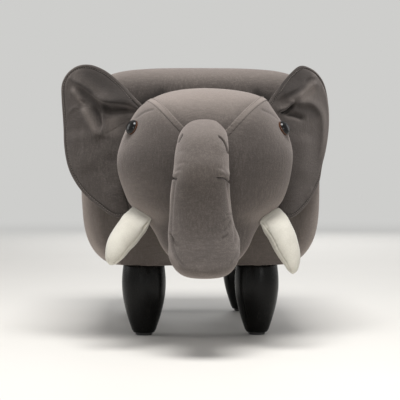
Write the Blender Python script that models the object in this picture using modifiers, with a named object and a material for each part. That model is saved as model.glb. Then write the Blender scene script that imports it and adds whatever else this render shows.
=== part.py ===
# Elephant footstool: a stuffed velvet elephant on a padded plywood box with four turned legs.
# Metres, +Z up. The elephant faces -Y. The origin is on the floor, under the middle of the stool.

import math

import bmesh
import bpy
from mathutils import Matrix, Vector

# Fits
GAP = 0.0003  # between pieces that touch
HOLE_PLAY = 0.0004  # round a bolt, shank or nail in its hole
EAR_PLAY = 0.0006  # between an ear's root and the head, so that the ear can flap

# Body
SEAT_HEIGHT = 0.360
BODY_WIDTH = 0.321
BODY_LENGTH = 0.410
BODY_FRONT = -0.105
UNDERSIDE = 0.097  # flat bottom of the body's cover
BODY_SAG = 0.012  # how far the round section would reach below the flat bottom
BODY_EDGE = 0.045  # rounding at the front and rear
TOP_SQUARENESS = 4.0
BOTTOM_SQUARENESS = 3.2
COVER = 0.002  # velvet with its backing

# Box and padding inside the body
BOARD = 0.012
BASE_MARGIN = 0.0097  # from the box's side out to the cover's outside, level with the base board
END_PADDING = 0.0197
SEAT_PADDING = 0.055
BASE_CORNER = 0.020
BASE_SETBACK = 0.002  # base board inside the box's sides
BLOCK_LEG = 0.038  # short sides of a corner block
BLOCK_HEIGHT = 0.040
HEM = 0.014  # cover turned in under the base board
DUST_COVER = 0.001
DUST_INSET = 0.008  # from the base board's edge

# Legs
LEG_SIDE_INSET = 0.0235  # leg's middle from the box's side
LEG_END_INSET = 0.033  # leg's middle from the box's end
LEG_FOOT_RADIUS = 0.0150
LEG_BELLY_RADIUS = 0.0297
LEG_TOP_RADIUS = 0.0277
LEG_BELLY_AT = 0.73  # share of the leg's height
GLIDE_RADIUS = 0.0115
GLIDE_HEIGHT = 0.003
GLIDE_CHAMFER = 0.001
NAIL_RADIUS = 0.0014
NAIL_LENGTH = 0.014
BOLT_RADIUS = 0.004
BOLT_IN_LEG = 0.035
BOLT_PAST_NUT = 0.004
NUT_FLANGE_RADIUS = 0.010
NUT_FLANGE = 0.0015
NUT_WALL = 0.002
NUT_BARREL = 0.009

# Seat screws
SCREW_RADIUS = 0.002
SCREW_HEAD_RADIUS = 0.004
SCREW_HEAD = 0.003
SCREW_LENGTH = 0.034

# Head
HEAD_DROP = 0.030  # crown below the seat's top
HEAD_HEIGHT = 0.2295
HEAD_WIDTH = 0.2244
HEAD_DEPTH = 0.144
NECK_BOARD_RADIUS = 0.062
NECK_BOARD_DROP = 0.094  # its middle below the crown
NECK_OPENING_RADIUS = 0.046
HEAD_BOLT_SPACING = 0.060
HEAD_BOLT_HEAD_RADIUS = 0.0075
HEAD_BOLT_HEAD = 0.005
INSERT_WALL = 0.002

# Trunk
TRUNK_WIDTH = 0.0895
TRUNK_ROOT_DROP = 0.042  # root below the crown
TRUNK_TIP_DROP = 0.006  # tip below the chin
TRUNK_OUT = 0.076  # in front of the face

# Tusks
TUSK_LENGTH = 0.092  # along its middle line, with the part that goes to the face
TUSK_RADIUS = 0.0172
TUSK_RISE = 0.0715  # root's middle above the chin
TUSK_INSET = 0.0131  # root's middle inside the head's side
TUSK_BACK = 0.044  # root's middle behind the face

# Ears
EAR_WIDTH = 0.114
EAR_HEIGHT = 0.1965
EAR_PUFF = 0.009  # thickness in the middle
EAR_HEM = 0.004  # thickness of the sewn edge
EAR_SWEEP = math.radians(33)
EAR_SEAM_BACK = 0.048  # seam in front of the neck
EAR_SEAM_DROP = 0.016  # seam's top below the crown
EAR_SEAM_LENGTH = 0.136
EAR_HANG = 0.0135  # ear's lowest point below its seam
EAR_CUP = 0.008  # how far the outer edge curls forward
EAR_BACK = math.radians(5.5)  # room at the root for the ear to bend back

# Eyes
EYE_RADIUS = 0.0095
EYE_DOME = 0.0062
EYE_DROP = 0.053  # below the crown
EYE_TURN = math.radians(28)  # from the side towards the front
SHANK_RADIUS = 0.0022
SHANK_LENGTH = 0.013
WASHER_RADIUS = 0.0062
WASHER = 0.0015
WASHER_SEAT = 0.032  # across the hollow of the cover that the flat washer bears on by its rim

# Tail
TAIL_DROP = 0.085  # root below the seat's top
TAIL_LENGTH = 0.125
TAIL_RADIUS = 0.0060
TUFT_RADIUS = 0.0085
TAIL_CLEAR = 0.0027  # between the tuft and the body

# Facets
BODY_SIDES = 36
HEAD_SIDES = 24
TRUNK_SIDES = 16
LEG_SIDES = 16
SMALL_SIDES = 12
THIN_SIDES = 10
EDGE_STEPS = 3
CORNER_STEPS = 4
DOME_STEPS = 5
LEG_STEPS = 9
SHARP_ANGLE = math.radians(40)
MERGE = 0.00005


def body_half(height):
    # Half the body's width at one height, away from its rounded ends.
    middle = (UNDERSIDE - BODY_SAG + SEAT_HEIGHT) / 2
    share = abs(height - middle) / (SEAT_HEIGHT - middle)
    squareness = TOP_SQUARENESS if height >= middle else BOTTOM_SQUARENESS
    return BODY_WIDTH / 2 * (1 - share**squareness) ** (1 / squareness)


# Places that follow from the sizes
BODY_REAR = BODY_FRONT + BODY_LENGTH
BOX_FRONT = BODY_FRONT + COVER + END_PADDING + GAP
BOX_REAR = BODY_REAR - COVER - END_PADDING - GAP
BASE_LOW = UNDERSIDE + COVER + GAP
BASE_TOP = BASE_LOW + BOARD
BOX_HALF = body_half(BASE_LOW) - BASE_MARGIN
SEAT_BOARD_TOP = SEAT_HEIGHT - COVER - SEAT_PADDING - GAP
SEAT_BOARD_LOW = SEAT_BOARD_TOP - BOARD
DUST_LOW = UNDERSIDE - GAP - DUST_COVER
LEG_TOP = DUST_LOW - GAP
LEG_LOW = GLIDE_HEIGHT + GAP
LEG_X = BOX_HALF - LEG_SIDE_INSET
LEG_Y = {"front": BOX_FRONT + LEG_END_INSET, "rear": BOX_REAR - LEG_END_INSET}
NECK = BODY_FRONT - GAP
HEAD_TOP = SEAT_HEIGHT - HEAD_DROP
HEAD_CHIN = HEAD_TOP - HEAD_HEIGHT
NECK_BOARD_MIDDLE = HEAD_TOP - NECK_BOARD_DROP
NECK_BOARD_FRONT = NECK - COVER - GAP - BOARD
TRUNK_TOP = HEAD_TOP - TRUNK_ROOT_DROP
TRUNK_BOTTOM = HEAD_CHIN - TRUNK_TIP_DROP
TRUNK_REACH = HEAD_DEPTH + TRUNK_OUT
TUSK_HEIGHT = HEAD_CHIN + TUSK_RISE
EAR_SEAM = NECK - EAR_SEAM_BACK
EAR_SEAM_TOP = HEAD_TOP - EAR_SEAM_DROP
EAR_SEAM_LOW = EAR_SEAM_TOP - EAR_SEAM_LENGTH
EAR_LOW = EAR_SEAM_LOW - EAR_HANG
EYE_HEIGHT = HEAD_TOP - EYE_DROP
TAIL_ROOT = SEAT_HEIGHT - TAIL_DROP
TAIL_OFFSET = TUFT_RADIUS + TAIL_CLEAR
SIDES = {"left": -1, "right": 1}


def start_collections():
    for old in list(bpy.data.objects):
        bpy.data.objects.remove(old, do_unlink=True)
    for name in ("elephant_footstool", "cutters"):
        collection = bpy.data.collections.new(name)
        bpy.context.scene.collection.children.link(collection)
    return bpy.data.collections["elephant_footstool"], bpy.data.collections["cutters"]


PARTS, CUTTERS = start_collections()


def material(name, colour, roughness, metallic=0.0):
    made = bpy.data.materials.new(name)
    made.use_nodes = True
    shader = made.node_tree.nodes["Principled BSDF"]
    shader.inputs["Base Color"].default_value = (*colour, 1.0)
    shader.inputs["Roughness"].default_value = roughness
    shader.inputs["Metallic"].default_value = metallic
    return made


VELVET = material("grey_velvet", (0.115, 0.098, 0.088), 0.9)
IVORY = material("ivory_cloth", (0.72, 0.69, 0.61), 0.85)
PLYWOOD = material("plywood", (0.60, 0.44, 0.27), 0.7)
FOAM = material("foam", (0.86, 0.80, 0.62), 0.95)
FIBRE = material("fibre_filling", (0.88, 0.88, 0.86), 1.0)
BLACK_WOOD = material("black_lacquered_wood", (0.010, 0.010, 0.009), 0.25)
STEEL = material("zinc_steel", (0.62, 0.62, 0.60), 0.35, 1.0)
BLACK_PLASTIC = material("black_plastic", (0.015, 0.015, 0.015), 0.45)
EYE_PLASTIC = material("eye_plastic", (0.020, 0.011, 0.006), 0.08)
BLACK_CLOTH = material("black_non_woven_cloth", (0.02, 0.02, 0.02), 0.95)


def new_object(name, mesh, look=None):
    made = bpy.data.objects.new(name, mesh)
    if look is None:
        CUTTERS.objects.link(made)
        made.hide_render = True
        made.display_type = "WIRE"
    else:
        PARTS.objects.link(made)
        mesh.materials.append(look)
    return made


def mesh_from(name, shape, smooth=True):
    bmesh.ops.recalc_face_normals(shape, faces=shape.faces)
    mesh = bpy.data.meshes.new(name)
    shape.to_mesh(mesh)
    shape.free()
    if smooth:
        mesh.shade_smooth()
        mesh.set_sharp_from_angle(angle=SHARP_ANGLE)
    return mesh


def box(name, low, high, look=None, corner=0.0):
    size = Vector(high) - Vector(low)
    middle = (Vector(high) + Vector(low)) / 2
    shape = bmesh.new()
    place = Matrix.Translation(middle) @ Matrix.Diagonal((*size, 1.0))
    bmesh.ops.create_cube(shape, size=1.0, matrix=place)
    if corner:
        upright = [e for e in shape.edges if abs(e.verts[0].co.z - e.verts[1].co.z) > size.z / 2]
        bmesh.ops.bevel(
            shape, geom=upright, offset=corner, segments=CORNER_STEPS, affect="EDGES", profile=0.5
        )
    return new_object(name, mesh_from(name, shape, smooth=False), look)


def rod(name, start, end, radius, look=None, sides=SMALL_SIDES):
    start, end = Vector(start), Vector(end)
    along = end - start
    place = Matrix.Translation((start + end) / 2) @ along.to_track_quat("Z", "Y").to_matrix().to_4x4()
    shape = bmesh.new()
    bmesh.ops.create_cone(
        shape, cap_ends=True, segments=sides, radius1=radius, radius2=radius, depth=along.length, matrix=place
    )
    return new_object(name, mesh_from(name, shape), look)


def turned(name, profile, place, look=None, sides=SMALL_SIDES):
    # The profile runs from the top on the axis, down the outside, to the bottom.
    mesh = bpy.data.meshes.new(name)
    edges = [(i, i + 1) for i in range(len(profile) - 1)]
    mesh.from_pydata([(radius, 0.0, height) for radius, height in profile], edges, [])
    made = new_object(name, mesh, look)
    made.matrix_world = place
    screw = made.modifiers.new("turn", "SCREW")
    screw.steps = sides
    screw.render_steps = sides
    screw.use_merge_vertices = True
    screw.merge_threshold = MERGE
    screw.use_smooth_shade = True
    return made


def lofted(name, rings, first_pole=None, last_pole=None):
    # Joins rings of equal length with quads, and closes each end with a pole or, without one, a flat face.
    shape = bmesh.new()
    rows = [[shape.verts.new(point) for point in ring] for ring in rings]
    count = len(rows[0])
    for row, following in zip(rows, rows[1:]):
        for i in range(count):
            j = (i + 1) % count
            shape.faces.new((row[i], row[j], following[j], following[i]))
    for row, pole in ((rows[0], first_pole), (rows[-1], last_pole)):
        if pole is None:
            shape.faces.new(row)
            continue
        tip = shape.verts.new(pole)
        for i in range(count):
            shape.faces.new((row[i], row[(i + 1) % count], tip))
    # Quads are split here, so that a form and its drawn-in copies bend along the same edges.
    bmesh.ops.triangulate(shape, faces=[face for face in shape.faces if len(face.verts) == 4])
    return mesh_from(name, shape)


def offset(name, source, distance):
    # The closed form, drawn in by a distance along its normals.
    made = source.copy()
    made.name = name
    moves = [vertex.normal * distance for vertex in made.vertices]
    for vertex, move in zip(made.vertices, moves):
        vertex.co -= move
    return made


def apply_boolean(target, tool, operation):
    change = target.modifiers.new(tool.name, "BOOLEAN")
    change.operation = operation
    change.solver = "EXACT"
    change.object = tool


def cut(target, *tools):
    for tool in tools:
        apply_boolean(target, tool, "DIFFERENCE")


def power(value, exponent):
    return math.copysign(abs(value) ** exponent, value)


def smooth_path(points, steps):
    # A Catmull-Rom curve through the points, with its ends kept.
    points = [Vector(point) for point in points]
    padded = [2 * points[0] - points[1], *points, 2 * points[-1] - points[-2]]
    path = []
    for a, b, c, d in zip(padded, padded[1:], padded[2:], padded[3:]):
        for step in range(steps):
            t = step / steps
            path.append(
                0.5 * (2 * b + (c - a) * t + (2 * a - 5 * b + 4 * c - d) * t**2
                       + (3 * b - a - 3 * c + d) * t**3)
            )
    return [*path, points[-1]]


def swept(name, path, radii, sides, across):
    # A round tube of changing thickness along a path, closed by a pole at each end.
    rings = []
    for i, (point, radius) in enumerate(zip(path, radii)):
        along = (path[min(i + 1, len(path) - 1)] - path[max(i - 1, 0)]).normalized()
        first = (across - along * across.dot(along)).normalized()
        second = along.cross(first)
        turns = [2 * math.pi * k / sides for k in range(sides)]
        rings.append([point + radius * (first * math.cos(t) + second * math.sin(t)) for t in turns])
    return lofted(name, rings, path[0], path[-1])


# Body's outside: squared-off sections along Y, rounded over at the front and rear
def body_ring(y, inset):
    half = BODY_WIDTH / 2 - inset
    low = UNDERSIDE - BODY_SAG
    top = SEAT_HEIGHT - inset
    middle = (low + top) / 2
    ring = []
    for k in range(BODY_SIDES):
        turn = 2 * math.pi * k / BODY_SIDES
        squareness = TOP_SQUARENESS if math.sin(turn) >= 0 else BOTTOM_SQUARENESS
        across = half * power(math.cos(turn), 2 / squareness)
        up = (top - middle) * power(math.sin(turn), 2 / squareness)
        ring.append((across, y, middle + up))
    return ring


def body_form():
    turns = [math.pi / 2 * step / EDGE_STEPS for step in range(EDGE_STEPS + 1)]
    front = [(BODY_FRONT + BODY_EDGE * (1 - math.sin(t)), BODY_EDGE * (1 - math.cos(t))) for t in turns]
    rear = [(BODY_FRONT + BODY_REAR - y, inset) for y, inset in front]
    stations = front[::-1] + rear
    return lofted("body_form", [body_ring(y, inset) for y, inset in stations])


# Head's outside: level sections from the crown down to the chin, as shares of its height, width and depth
HEAD_LEVELS = (
    # height, half width, front, back
    (0.989, 0.270, 0.625, 0.208),
    (0.963, 0.490, 0.757, 0.060),
    (0.904, 0.713, 0.868, -0.070),
    (0.817, 0.847, 0.944, -0.118),
    (0.704, 0.949, 0.986, -0.139),
    (0.608, 1.000, 1.000, -0.139),
    (0.499, 0.985, 0.990, -0.139),
    (0.412, 0.931, 0.972, -0.139),
    (0.338, 0.840, 0.955, -0.115),
    (0.262, 0.670, 0.938, -0.020),
    (0.194, 0.570, 0.938, 0.180),
    (0.107, 0.480, 0.950, 0.370),
    (0.041, 0.350, 0.950, 0.550),
    (0.011, 0.190, 0.900, 0.680),
)
HEAD_CROWN_AT = 0.42
HEAD_CHIN_AT = 0.80
HEAD_ROUNDNESS = 2.3


def head_level(height):
    # Half width, front and back of the head at one height, between the two nearest levels.
    share = (height - HEAD_CHIN) / HEAD_HEIGHT
    share = min(max(share, HEAD_LEVELS[-1][0]), HEAD_LEVELS[0][0])
    upper, lower = next(
        pair for pair in zip(HEAD_LEVELS, HEAD_LEVELS[1:]) if share >= pair[1][0]
    )
    mix = (share - lower[0]) / (upper[0] - lower[0])
    half, front, back = (low + (high - low) * mix for low, high in zip(lower[1:], upper[1:]))
    return half * HEAD_WIDTH / 2, NECK - front * HEAD_DEPTH, NECK - back * HEAD_DEPTH


def head_point(height, turn):
    # A point of the head's outside, turned from its right side towards its front.
    half, front, back = head_level(height)
    across = half * power(math.cos(turn), 2 / HEAD_ROUNDNESS)
    forward = (back - front) / 2 * power(math.sin(turn), 2 / HEAD_ROUNDNESS)
    return Vector((across, (front + back) / 2 - forward, height))


def head_side(height, y):
    # The head's half width at one height and distance along Y.
    half, front, back = head_level(height)
    share = abs(y - (front + back) / 2) / ((back - front) / 2)
    return half * (1 - share**HEAD_ROUNDNESS) ** (1 / HEAD_ROUNDNESS)


def head_form():
    heights = [HEAD_CHIN + level[0] * HEAD_HEIGHT for level in HEAD_LEVELS]
    turns = [2 * math.pi * k / HEAD_SIDES for k in range(HEAD_SIDES)]
    rings = [[head_point(height, turn) for turn in turns] for height in heights]
    crown = (0, NECK - HEAD_CROWN_AT * HEAD_DEPTH, HEAD_TOP)
    chin = (0, NECK - HEAD_CHIN_AT * HEAD_DEPTH, HEAD_CHIN)
    return lofted("head_form", rings, crown, chin)


# Trunk's outside: level sections, as shares of its height, width and reach
TRUNK_LEVELS = (
    # height, half width, front, back
    (0.990, 0.280, 0.645, 0.500),
    (0.968, 0.445, 0.720, 0.475),
    (0.922, 0.610, 0.805, 0.470),
    (0.866, 0.685, 0.870, 0.470),
    (0.778, 0.730, 0.921, 0.470),
    (0.711, 0.755, 0.938, 0.470),
    (0.628, 0.788, 0.923, 0.495),
    (0.519, 0.815, 0.889, 0.500),
    (0.401, 0.868, 0.873, 0.520),
    (0.287, 0.948, 0.886, 0.545),
    (0.209, 0.995, 0.923, 0.565),
    (0.137, 0.977, 0.964, 0.585),
    (0.075, 0.856, 0.993, 0.605),
    (0.028, 0.640, 0.991, 0.640),
    (0.008, 0.377, 0.959, 0.685),
)
TRUNK_ROOT_AT = 0.58
TRUNK_TIP_AT = 0.83
TRUNK_ROUNDNESS = 2.4


def trunk_form():
    rings = []
    for share, half, front, back in TRUNK_LEVELS:
        height = TRUNK_BOTTOM + share * (TRUNK_TOP - TRUNK_BOTTOM)
        middle = NECK - (front + back) / 2 * TRUNK_REACH
        deep = (front - back) / 2 * TRUNK_REACH
        ring = []
        for k in range(TRUNK_SIDES):
            turn = 2 * math.pi * k / TRUNK_SIDES
            across = half * TRUNK_WIDTH / 2 * power(math.cos(turn), 2 / TRUNK_ROUNDNESS)
            ring.append((across, middle - deep * power(math.sin(turn), 2 / TRUNK_ROUNDNESS), height))
        rings.append(ring)
    root = (0, NECK - TRUNK_ROOT_AT * TRUNK_REACH, TRUNK_TOP)
    tip = (0, NECK - TRUNK_TIP_AT * TRUNK_REACH, TRUNK_BOTTOM)
    return lofted("trunk_form", rings, root, tip)


# Legs, each with its glide, hanger bolt and tee nut
def leg_radius(share):
    if share <= LEG_BELLY_AT:
        swell = math.sin(math.pi / 2 * share / LEG_BELLY_AT)
        return LEG_FOOT_RADIUS + (LEG_BELLY_RADIUS - LEG_FOOT_RADIUS) * swell
    draw_in = 1 - math.cos(math.pi / 2 * (share - LEG_BELLY_AT) / (1 - LEG_BELLY_AT))
    return LEG_BELLY_RADIUS - (LEG_BELLY_RADIUS - LEG_TOP_RADIUS) * draw_in


def leg_profile():
    bore = BOLT_RADIUS + HOLE_PLAY
    nail_hole = NAIL_RADIUS + HOLE_PLAY
    bore_low = LEG_TOP - BOLT_IN_LEG - HOLE_PLAY
    nail_top = LEG_LOW + NAIL_LENGTH
    outside = []
    for step in range(LEG_STEPS, -1, -1):
        share = step / LEG_STEPS
        outside.append((leg_radius(share), LEG_LOW + share * (LEG_TOP - LEG_LOW)))
    inside = [(0, bore_low), (bore, bore_low), (bore, LEG_TOP)]
    under = [(nail_hole, LEG_LOW), (nail_hole, nail_top), (0, nail_top)]
    return inside + outside + under


def glide_profile():
    nail_top = GLIDE_HEIGHT + NAIL_LENGTH
    return [
        (0, nail_top), (NAIL_RADIUS, nail_top), (NAIL_RADIUS, GLIDE_HEIGHT), (GLIDE_RADIUS, GLIDE_HEIGHT),
        (GLIDE_RADIUS, GLIDE_CHAMFER), (GLIDE_RADIUS - GLIDE_CHAMFER, 0), (0, 0),
    ]


def nut_profile():
    thread = BOLT_RADIUS + HOLE_PLAY
    flange_low = BASE_TOP + GAP
    flange_top = flange_low + NUT_FLANGE
    barrel_low = flange_low - NUT_BARREL
    barrel = thread + NUT_WALL
    return [
        (thread, flange_top), (NUT_FLANGE_RADIUS, flange_top), (NUT_FLANGE_RADIUS, flange_low),
        (barrel, flange_low), (barrel, barrel_low), (thread, barrel_low), (thread, flange_top),
    ]


def ring_mesh(name, profile, place, look, sides):
    # A turned piece with a hole right through: its profile is closed.
    made = turned(name, profile[:-1], place, look, sides)
    bare = bmesh.new()
    bare.from_mesh(made.data)
    bare.verts.ensure_lookup_table()
    bare.edges.new((bare.verts[len(profile) - 2], bare.verts[0]))
    bare.to_mesh(made.data)
    bare.free()
    return made


def make_legs():
    holes = []
    for end, y in LEG_Y.items():
        for side, sign in SIDES.items():
            place = Matrix.Translation((sign * LEG_X, y, 0))
            name = f"{end}_{side}"
            turned(f"leg_{name}", leg_profile(), place, BLACK_WOOD, LEG_SIDES)
            turned(f"foot_glide_{name}", glide_profile(), place, BLACK_PLASTIC)
            ring_mesh(f"tee_nut_{name}", nut_profile(), place, STEEL, SMALL_SIDES)
            low = place @ Vector((0, 0, LEG_TOP - BOLT_IN_LEG))
            high = place @ Vector((0, 0, BASE_TOP + GAP + NUT_FLANGE + BOLT_PAST_NUT))
            rod(f"hanger_bolt_{name}", low, high, BOLT_RADIUS, STEEL)
            wide = BOLT_RADIUS + HOLE_PLAY + NUT_WALL + HOLE_PLAY
            nut_hole = rod(f"nut_hole_{name}", low, high, wide)
            bolt_hole = rod(f"bolt_hole_{name}", low, high, BOLT_RADIUS + HOLE_PLAY)
            holes.append((nut_hole, bolt_hole))
    return holes


# Plywood box, corner blocks and seat screws
def block_prism(name, side, end):
    x_out = SIDES[side] * (BOX_HALF - BOARD - GAP)
    x_in = x_out - SIDES[side] * BLOCK_LEG
    inward = 1 if end == "front" else -1
    wall = BOX_FRONT if end == "front" else BOX_REAR
    y_out = wall + inward * (BOARD + GAP)
    y_in = y_out + inward * BLOCK_LEG
    top = SEAT_BOARD_LOW - GAP
    shape = bmesh.new()
    corners = [(x_out, y_out), (x_in, y_out), (x_out, y_in)]
    face = shape.faces.new([shape.verts.new((x, y, top)) for x, y in corners])
    grown = bmesh.ops.extrude_face_region(shape, geom=[face])
    lowered = [v for v in grown["geom"] if isinstance(v, bmesh.types.BMVert)]
    bmesh.ops.translate(shape, verts=lowered, vec=(0, 0, -BLOCK_HEIGHT))
    middle = Vector(((2 * x_out + x_in) / 3, (2 * y_out + y_in) / 3, 0))
    return new_object(name, mesh_from(name, shape, smooth=False), PLYWOOD), middle


def screw_profile(play):
    top = SEAT_BOARD_TOP + play
    neck = SEAT_BOARD_TOP - SCREW_HEAD - play
    tip = SEAT_BOARD_TOP - SCREW_LENGTH - play
    radius = SCREW_RADIUS + play
    return [(0, top), (SCREW_HEAD_RADIUS + play, top), (radius, neck), (radius, tip), (0, tip)]


def make_box(leg_holes, head_holes):
    base = box(
        "base_board",
        (-BOX_HALF + BASE_SETBACK, BOX_FRONT + BASE_SETBACK, BASE_LOW),
        (BOX_HALF - BASE_SETBACK, BOX_REAR - BASE_SETBACK, BASE_TOP),
        PLYWOOD,
        BASE_CORNER,
    )
    dust = box(
        "dust_cover",
        (-BOX_HALF + DUST_INSET, BOX_FRONT + DUST_INSET, DUST_LOW),
        (BOX_HALF - DUST_INSET, BOX_REAR - DUST_INSET, DUST_LOW + DUST_COVER),
        BLACK_CLOTH,
        BASE_CORNER,
    )
    for nut_hole, bolt_hole in leg_holes:
        cut(base, nut_hole)
        cut(dust, bolt_hole)
    low = BASE_TOP + GAP
    high = SEAT_BOARD_LOW - GAP
    front = box(
        "front_end_board", (-BOX_HALF, BOX_FRONT, low), (BOX_HALF, BOX_FRONT + BOARD, high), PLYWOOD
    )
    cut(front, *head_holes)
    box("rear_end_board", (-BOX_HALF, BOX_REAR - BOARD, low), (BOX_HALF, BOX_REAR, high), PLYWOOD)
    for side, sign in SIDES.items():
        edges = sorted((sign * BOX_HALF, sign * (BOX_HALF - BOARD)))
        box(
            f"{side}_side_board",
            (edges[0], BOX_FRONT + BOARD + GAP, low),
            (edges[1], BOX_REAR - BOARD - GAP, high),
            PLYWOOD,
        )
    seat = box(
        "seat_board", (-BOX_HALF, BOX_FRONT, SEAT_BOARD_LOW), (BOX_HALF, BOX_REAR, SEAT_BOARD_TOP), PLYWOOD
    )
    for end in LEG_Y:
        for side in SIDES:
            block, middle = block_prism(f"corner_block_{end}_{side}", side, end)
            place = Matrix.Translation(middle)
            turned(f"seat_screw_{end}_{side}", screw_profile(0), place, STEEL, THIN_SIDES)
            hole = turned(f"screw_hole_{end}_{side}", screw_profile(HOLE_PLAY), place, None, THIN_SIDES)
            cut(seat, hole)
            cut(block, hole)


# Padding and cover of the body
def make_body(head_holes):
    form = body_form()
    far = BODY_LENGTH
    wide = BODY_WIDTH

    def below(name, height):
        return box(name, (-wide, BODY_FRONT - far, -SEAT_HEIGHT), (wide, BODY_REAR + far, height))

    cover = new_object("body_cover", form, VELVET)
    lining = new_object("body_lining", offset("body_lining", form, COVER))
    cut(lining, below("lining_floor", UNDERSIDE + COVER))
    hem_hole = box(
        "hem_hole",
        (-BOX_HALF + HEM, BOX_FRONT + HEM, UNDERSIDE - BODY_SAG),
        (BOX_HALF - HEM, BOX_REAR - HEM, BASE_LOW + BOARD),
        corner=BASE_CORNER,
    )
    cut(cover, below("cover_floor", UNDERSIDE), lining, hem_hole, *head_holes)
    padding = offset("padding_form", form, COVER + GAP)
    wadding = new_object("body_wadding", padding, FOAM)
    base_play = GAP - BASE_SETBACK
    base_space = box(
        "base_space",
        (-BOX_HALF - base_play, BOX_FRONT - base_play, -SEAT_HEIGHT),
        (BOX_HALF + base_play, BOX_REAR + base_play, BASE_TOP + BOARD),
        corner=BASE_CORNER,
    )
    box_space = box(
        "box_space",
        (-BOX_HALF - GAP, BOX_FRONT - GAP, BASE_TOP),
        (BOX_HALF + GAP, BOX_REAR + GAP, SEAT_HEIGHT),
    )
    above = box(
        "seat_space",
        (-wide, BODY_FRONT - far, SEAT_BOARD_TOP),
        (wide, BODY_REAR + far, 2 * SEAT_HEIGHT),
    )
    cut(wadding, below("wadding_floor", BASE_LOW), above, base_space, box_space, *head_holes)
    cushion = new_object("seat_foam", padding.copy(), FOAM)
    cut(cushion, below("seat_floor", SEAT_BOARD_TOP + GAP))


# Head: cover, filling, neck board and the bolts that hold it to the front board
def head_bolt_lines():
    half = HEAD_BOLT_SPACING / 2
    return {"upper": NECK_BOARD_MIDDLE + half, "lower": NECK_BOARD_MIDDLE - half}


def make_head_bolts():
    holes = []
    inner_face = BOX_FRONT + BOARD + GAP
    lengthwise = Matrix.Rotation(math.radians(-90), 4, "X")
    for name, height in head_bolt_lines().items():
        bolt_place = Matrix.Translation((0, inner_face, height)) @ lengthwise
        reach = inner_face - NECK_BOARD_FRONT
        head = [
            (0, HEAD_BOLT_HEAD), (HEAD_BOLT_HEAD_RADIUS, HEAD_BOLT_HEAD), (HEAD_BOLT_HEAD_RADIUS, 0),
            (BOLT_RADIUS, 0), (BOLT_RADIUS, -reach), (0, -reach),
        ]
        turned(f"head_bolt_{name}", head, bolt_place, STEEL)
        thread = BOLT_RADIUS + HOLE_PLAY
        wall = thread + INSERT_WALL
        nut_place = Matrix.Translation((0, NECK_BOARD_FRONT, height)) @ lengthwise
        insert = [(thread, BOARD), (wall, BOARD), (wall, 0), (thread, 0), (thread, BOARD)]
        ring_mesh(f"insert_nut_{name}", insert, nut_place, STEEL, SMALL_SIDES)
        start = (0, inner_face, height)
        end = (0, NECK_BOARD_FRONT - GAP, height)
        bolt_hole = rod(f"head_bolt_hole_{name}", start, end, thread)
        insert_hole = rod(f"insert_hole_{name}", start, end, wall + GAP)
        holes.append((bolt_hole, insert_hole))
    return holes


def eye_places():
    places = {}
    near = EYE_RADIUS / 2
    turn = near / HEAD_DEPTH
    for side, sign in SIDES.items():
        spot = head_point(EYE_HEIGHT, EYE_TURN)
        rise = head_point(EYE_HEIGHT + near, EYE_TURN) - head_point(EYE_HEIGHT - near, EYE_TURN)
        round_it = head_point(EYE_HEIGHT, EYE_TURN + turn) - head_point(EYE_HEIGHT, EYE_TURN - turn)
        out = rise.cross(round_it).normalized()
        if out.x < 0:
            out = -out
        out.x *= sign
        spot.x *= sign
        places[side] = Matrix.Translation(spot) @ out.to_track_quat("Z", "Y").to_matrix().to_4x4()
    return places


def make_eyes():
    holes = []
    pockets = []
    dome = []
    for step in range(DOME_STEPS + 1):
        turn = math.pi / 2 * step / DOME_STEPS
        dome.append((EYE_RADIUS * math.sin(turn), GAP + EYE_DOME * math.cos(turn)))
    shank = [(SHANK_RADIUS, GAP), (SHANK_RADIUS, -SHANK_LENGTH), (0, -SHANK_LENGTH)]
    washer_top = -COVER - WASHER_RADIUS**2 / WASHER_SEAT
    washer_low = washer_top - WASHER
    inner = SHANK_RADIUS + HOLE_PLAY
    washer = [
        (inner, washer_top), (WASHER_RADIUS, washer_top), (WASHER_RADIUS, washer_low),
        (inner, washer_low), (inner, washer_top),
    ]
    for side, place in eye_places().items():
        turned(f"eye_{side}", dome + shank, place, EYE_PLASTIC, LEG_SIDES)
        ring_mesh(f"eye_washer_{side}", washer, place, BLACK_PLASTIC, SMALL_SIDES)
        out = place @ Vector((0, 0, EYE_DOME))
        deep = place @ Vector((0, 0, -SHANK_LENGTH - HOLE_PLAY))
        holes.append(rod(f"eye_hole_{side}", out, deep, inner))
        pockets.append(rod(f"eye_pocket_{side}", out, deep, WASHER_RADIUS + HOLE_PLAY))
    return holes, pockets


def behind(name, y):
    return box(name, (-BODY_WIDTH, y, 0), (BODY_WIDTH, BODY_REAR, 2 * SEAT_HEIGHT))


def make_head(form, bolt_holes):
    eye_holes, eye_pockets = make_eyes()
    lining = new_object("head_lining", offset("head_lining", form, COVER))
    cut(lining, behind("lining_back", NECK - COVER))
    middle = Vector((0, NECK, NECK_BOARD_MIDDLE))
    deep = Vector((0, BOARD, 0))
    opening = rod("neck_opening", middle - deep, middle + deep, NECK_OPENING_RADIUS, None, HEAD_SIDES)
    cover = new_object("head_cover", form.copy(), VELVET)
    cut(cover, behind("cover_back", NECK), lining, opening, *eye_holes)
    start = Vector((0, NECK_BOARD_FRONT, NECK_BOARD_MIDDLE))
    end = start + deep
    board = rod("neck_board", start, end, NECK_BOARD_RADIUS, PLYWOOD, HEAD_SIDES)
    filling = new_object("head_filling", offset("head_filling", form, COVER + GAP), FIBRE)
    play = Vector((0, GAP, 0))
    pocket = rod("neck_board_space", start - play, end + deep, NECK_BOARD_RADIUS + GAP, None, HEAD_SIDES)
    cut(filling, behind("filling_back", NECK - COVER - GAP), pocket, *eye_pockets)
    for _, insert_hole in bolt_holes:
        cut(board, insert_hole)


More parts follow.
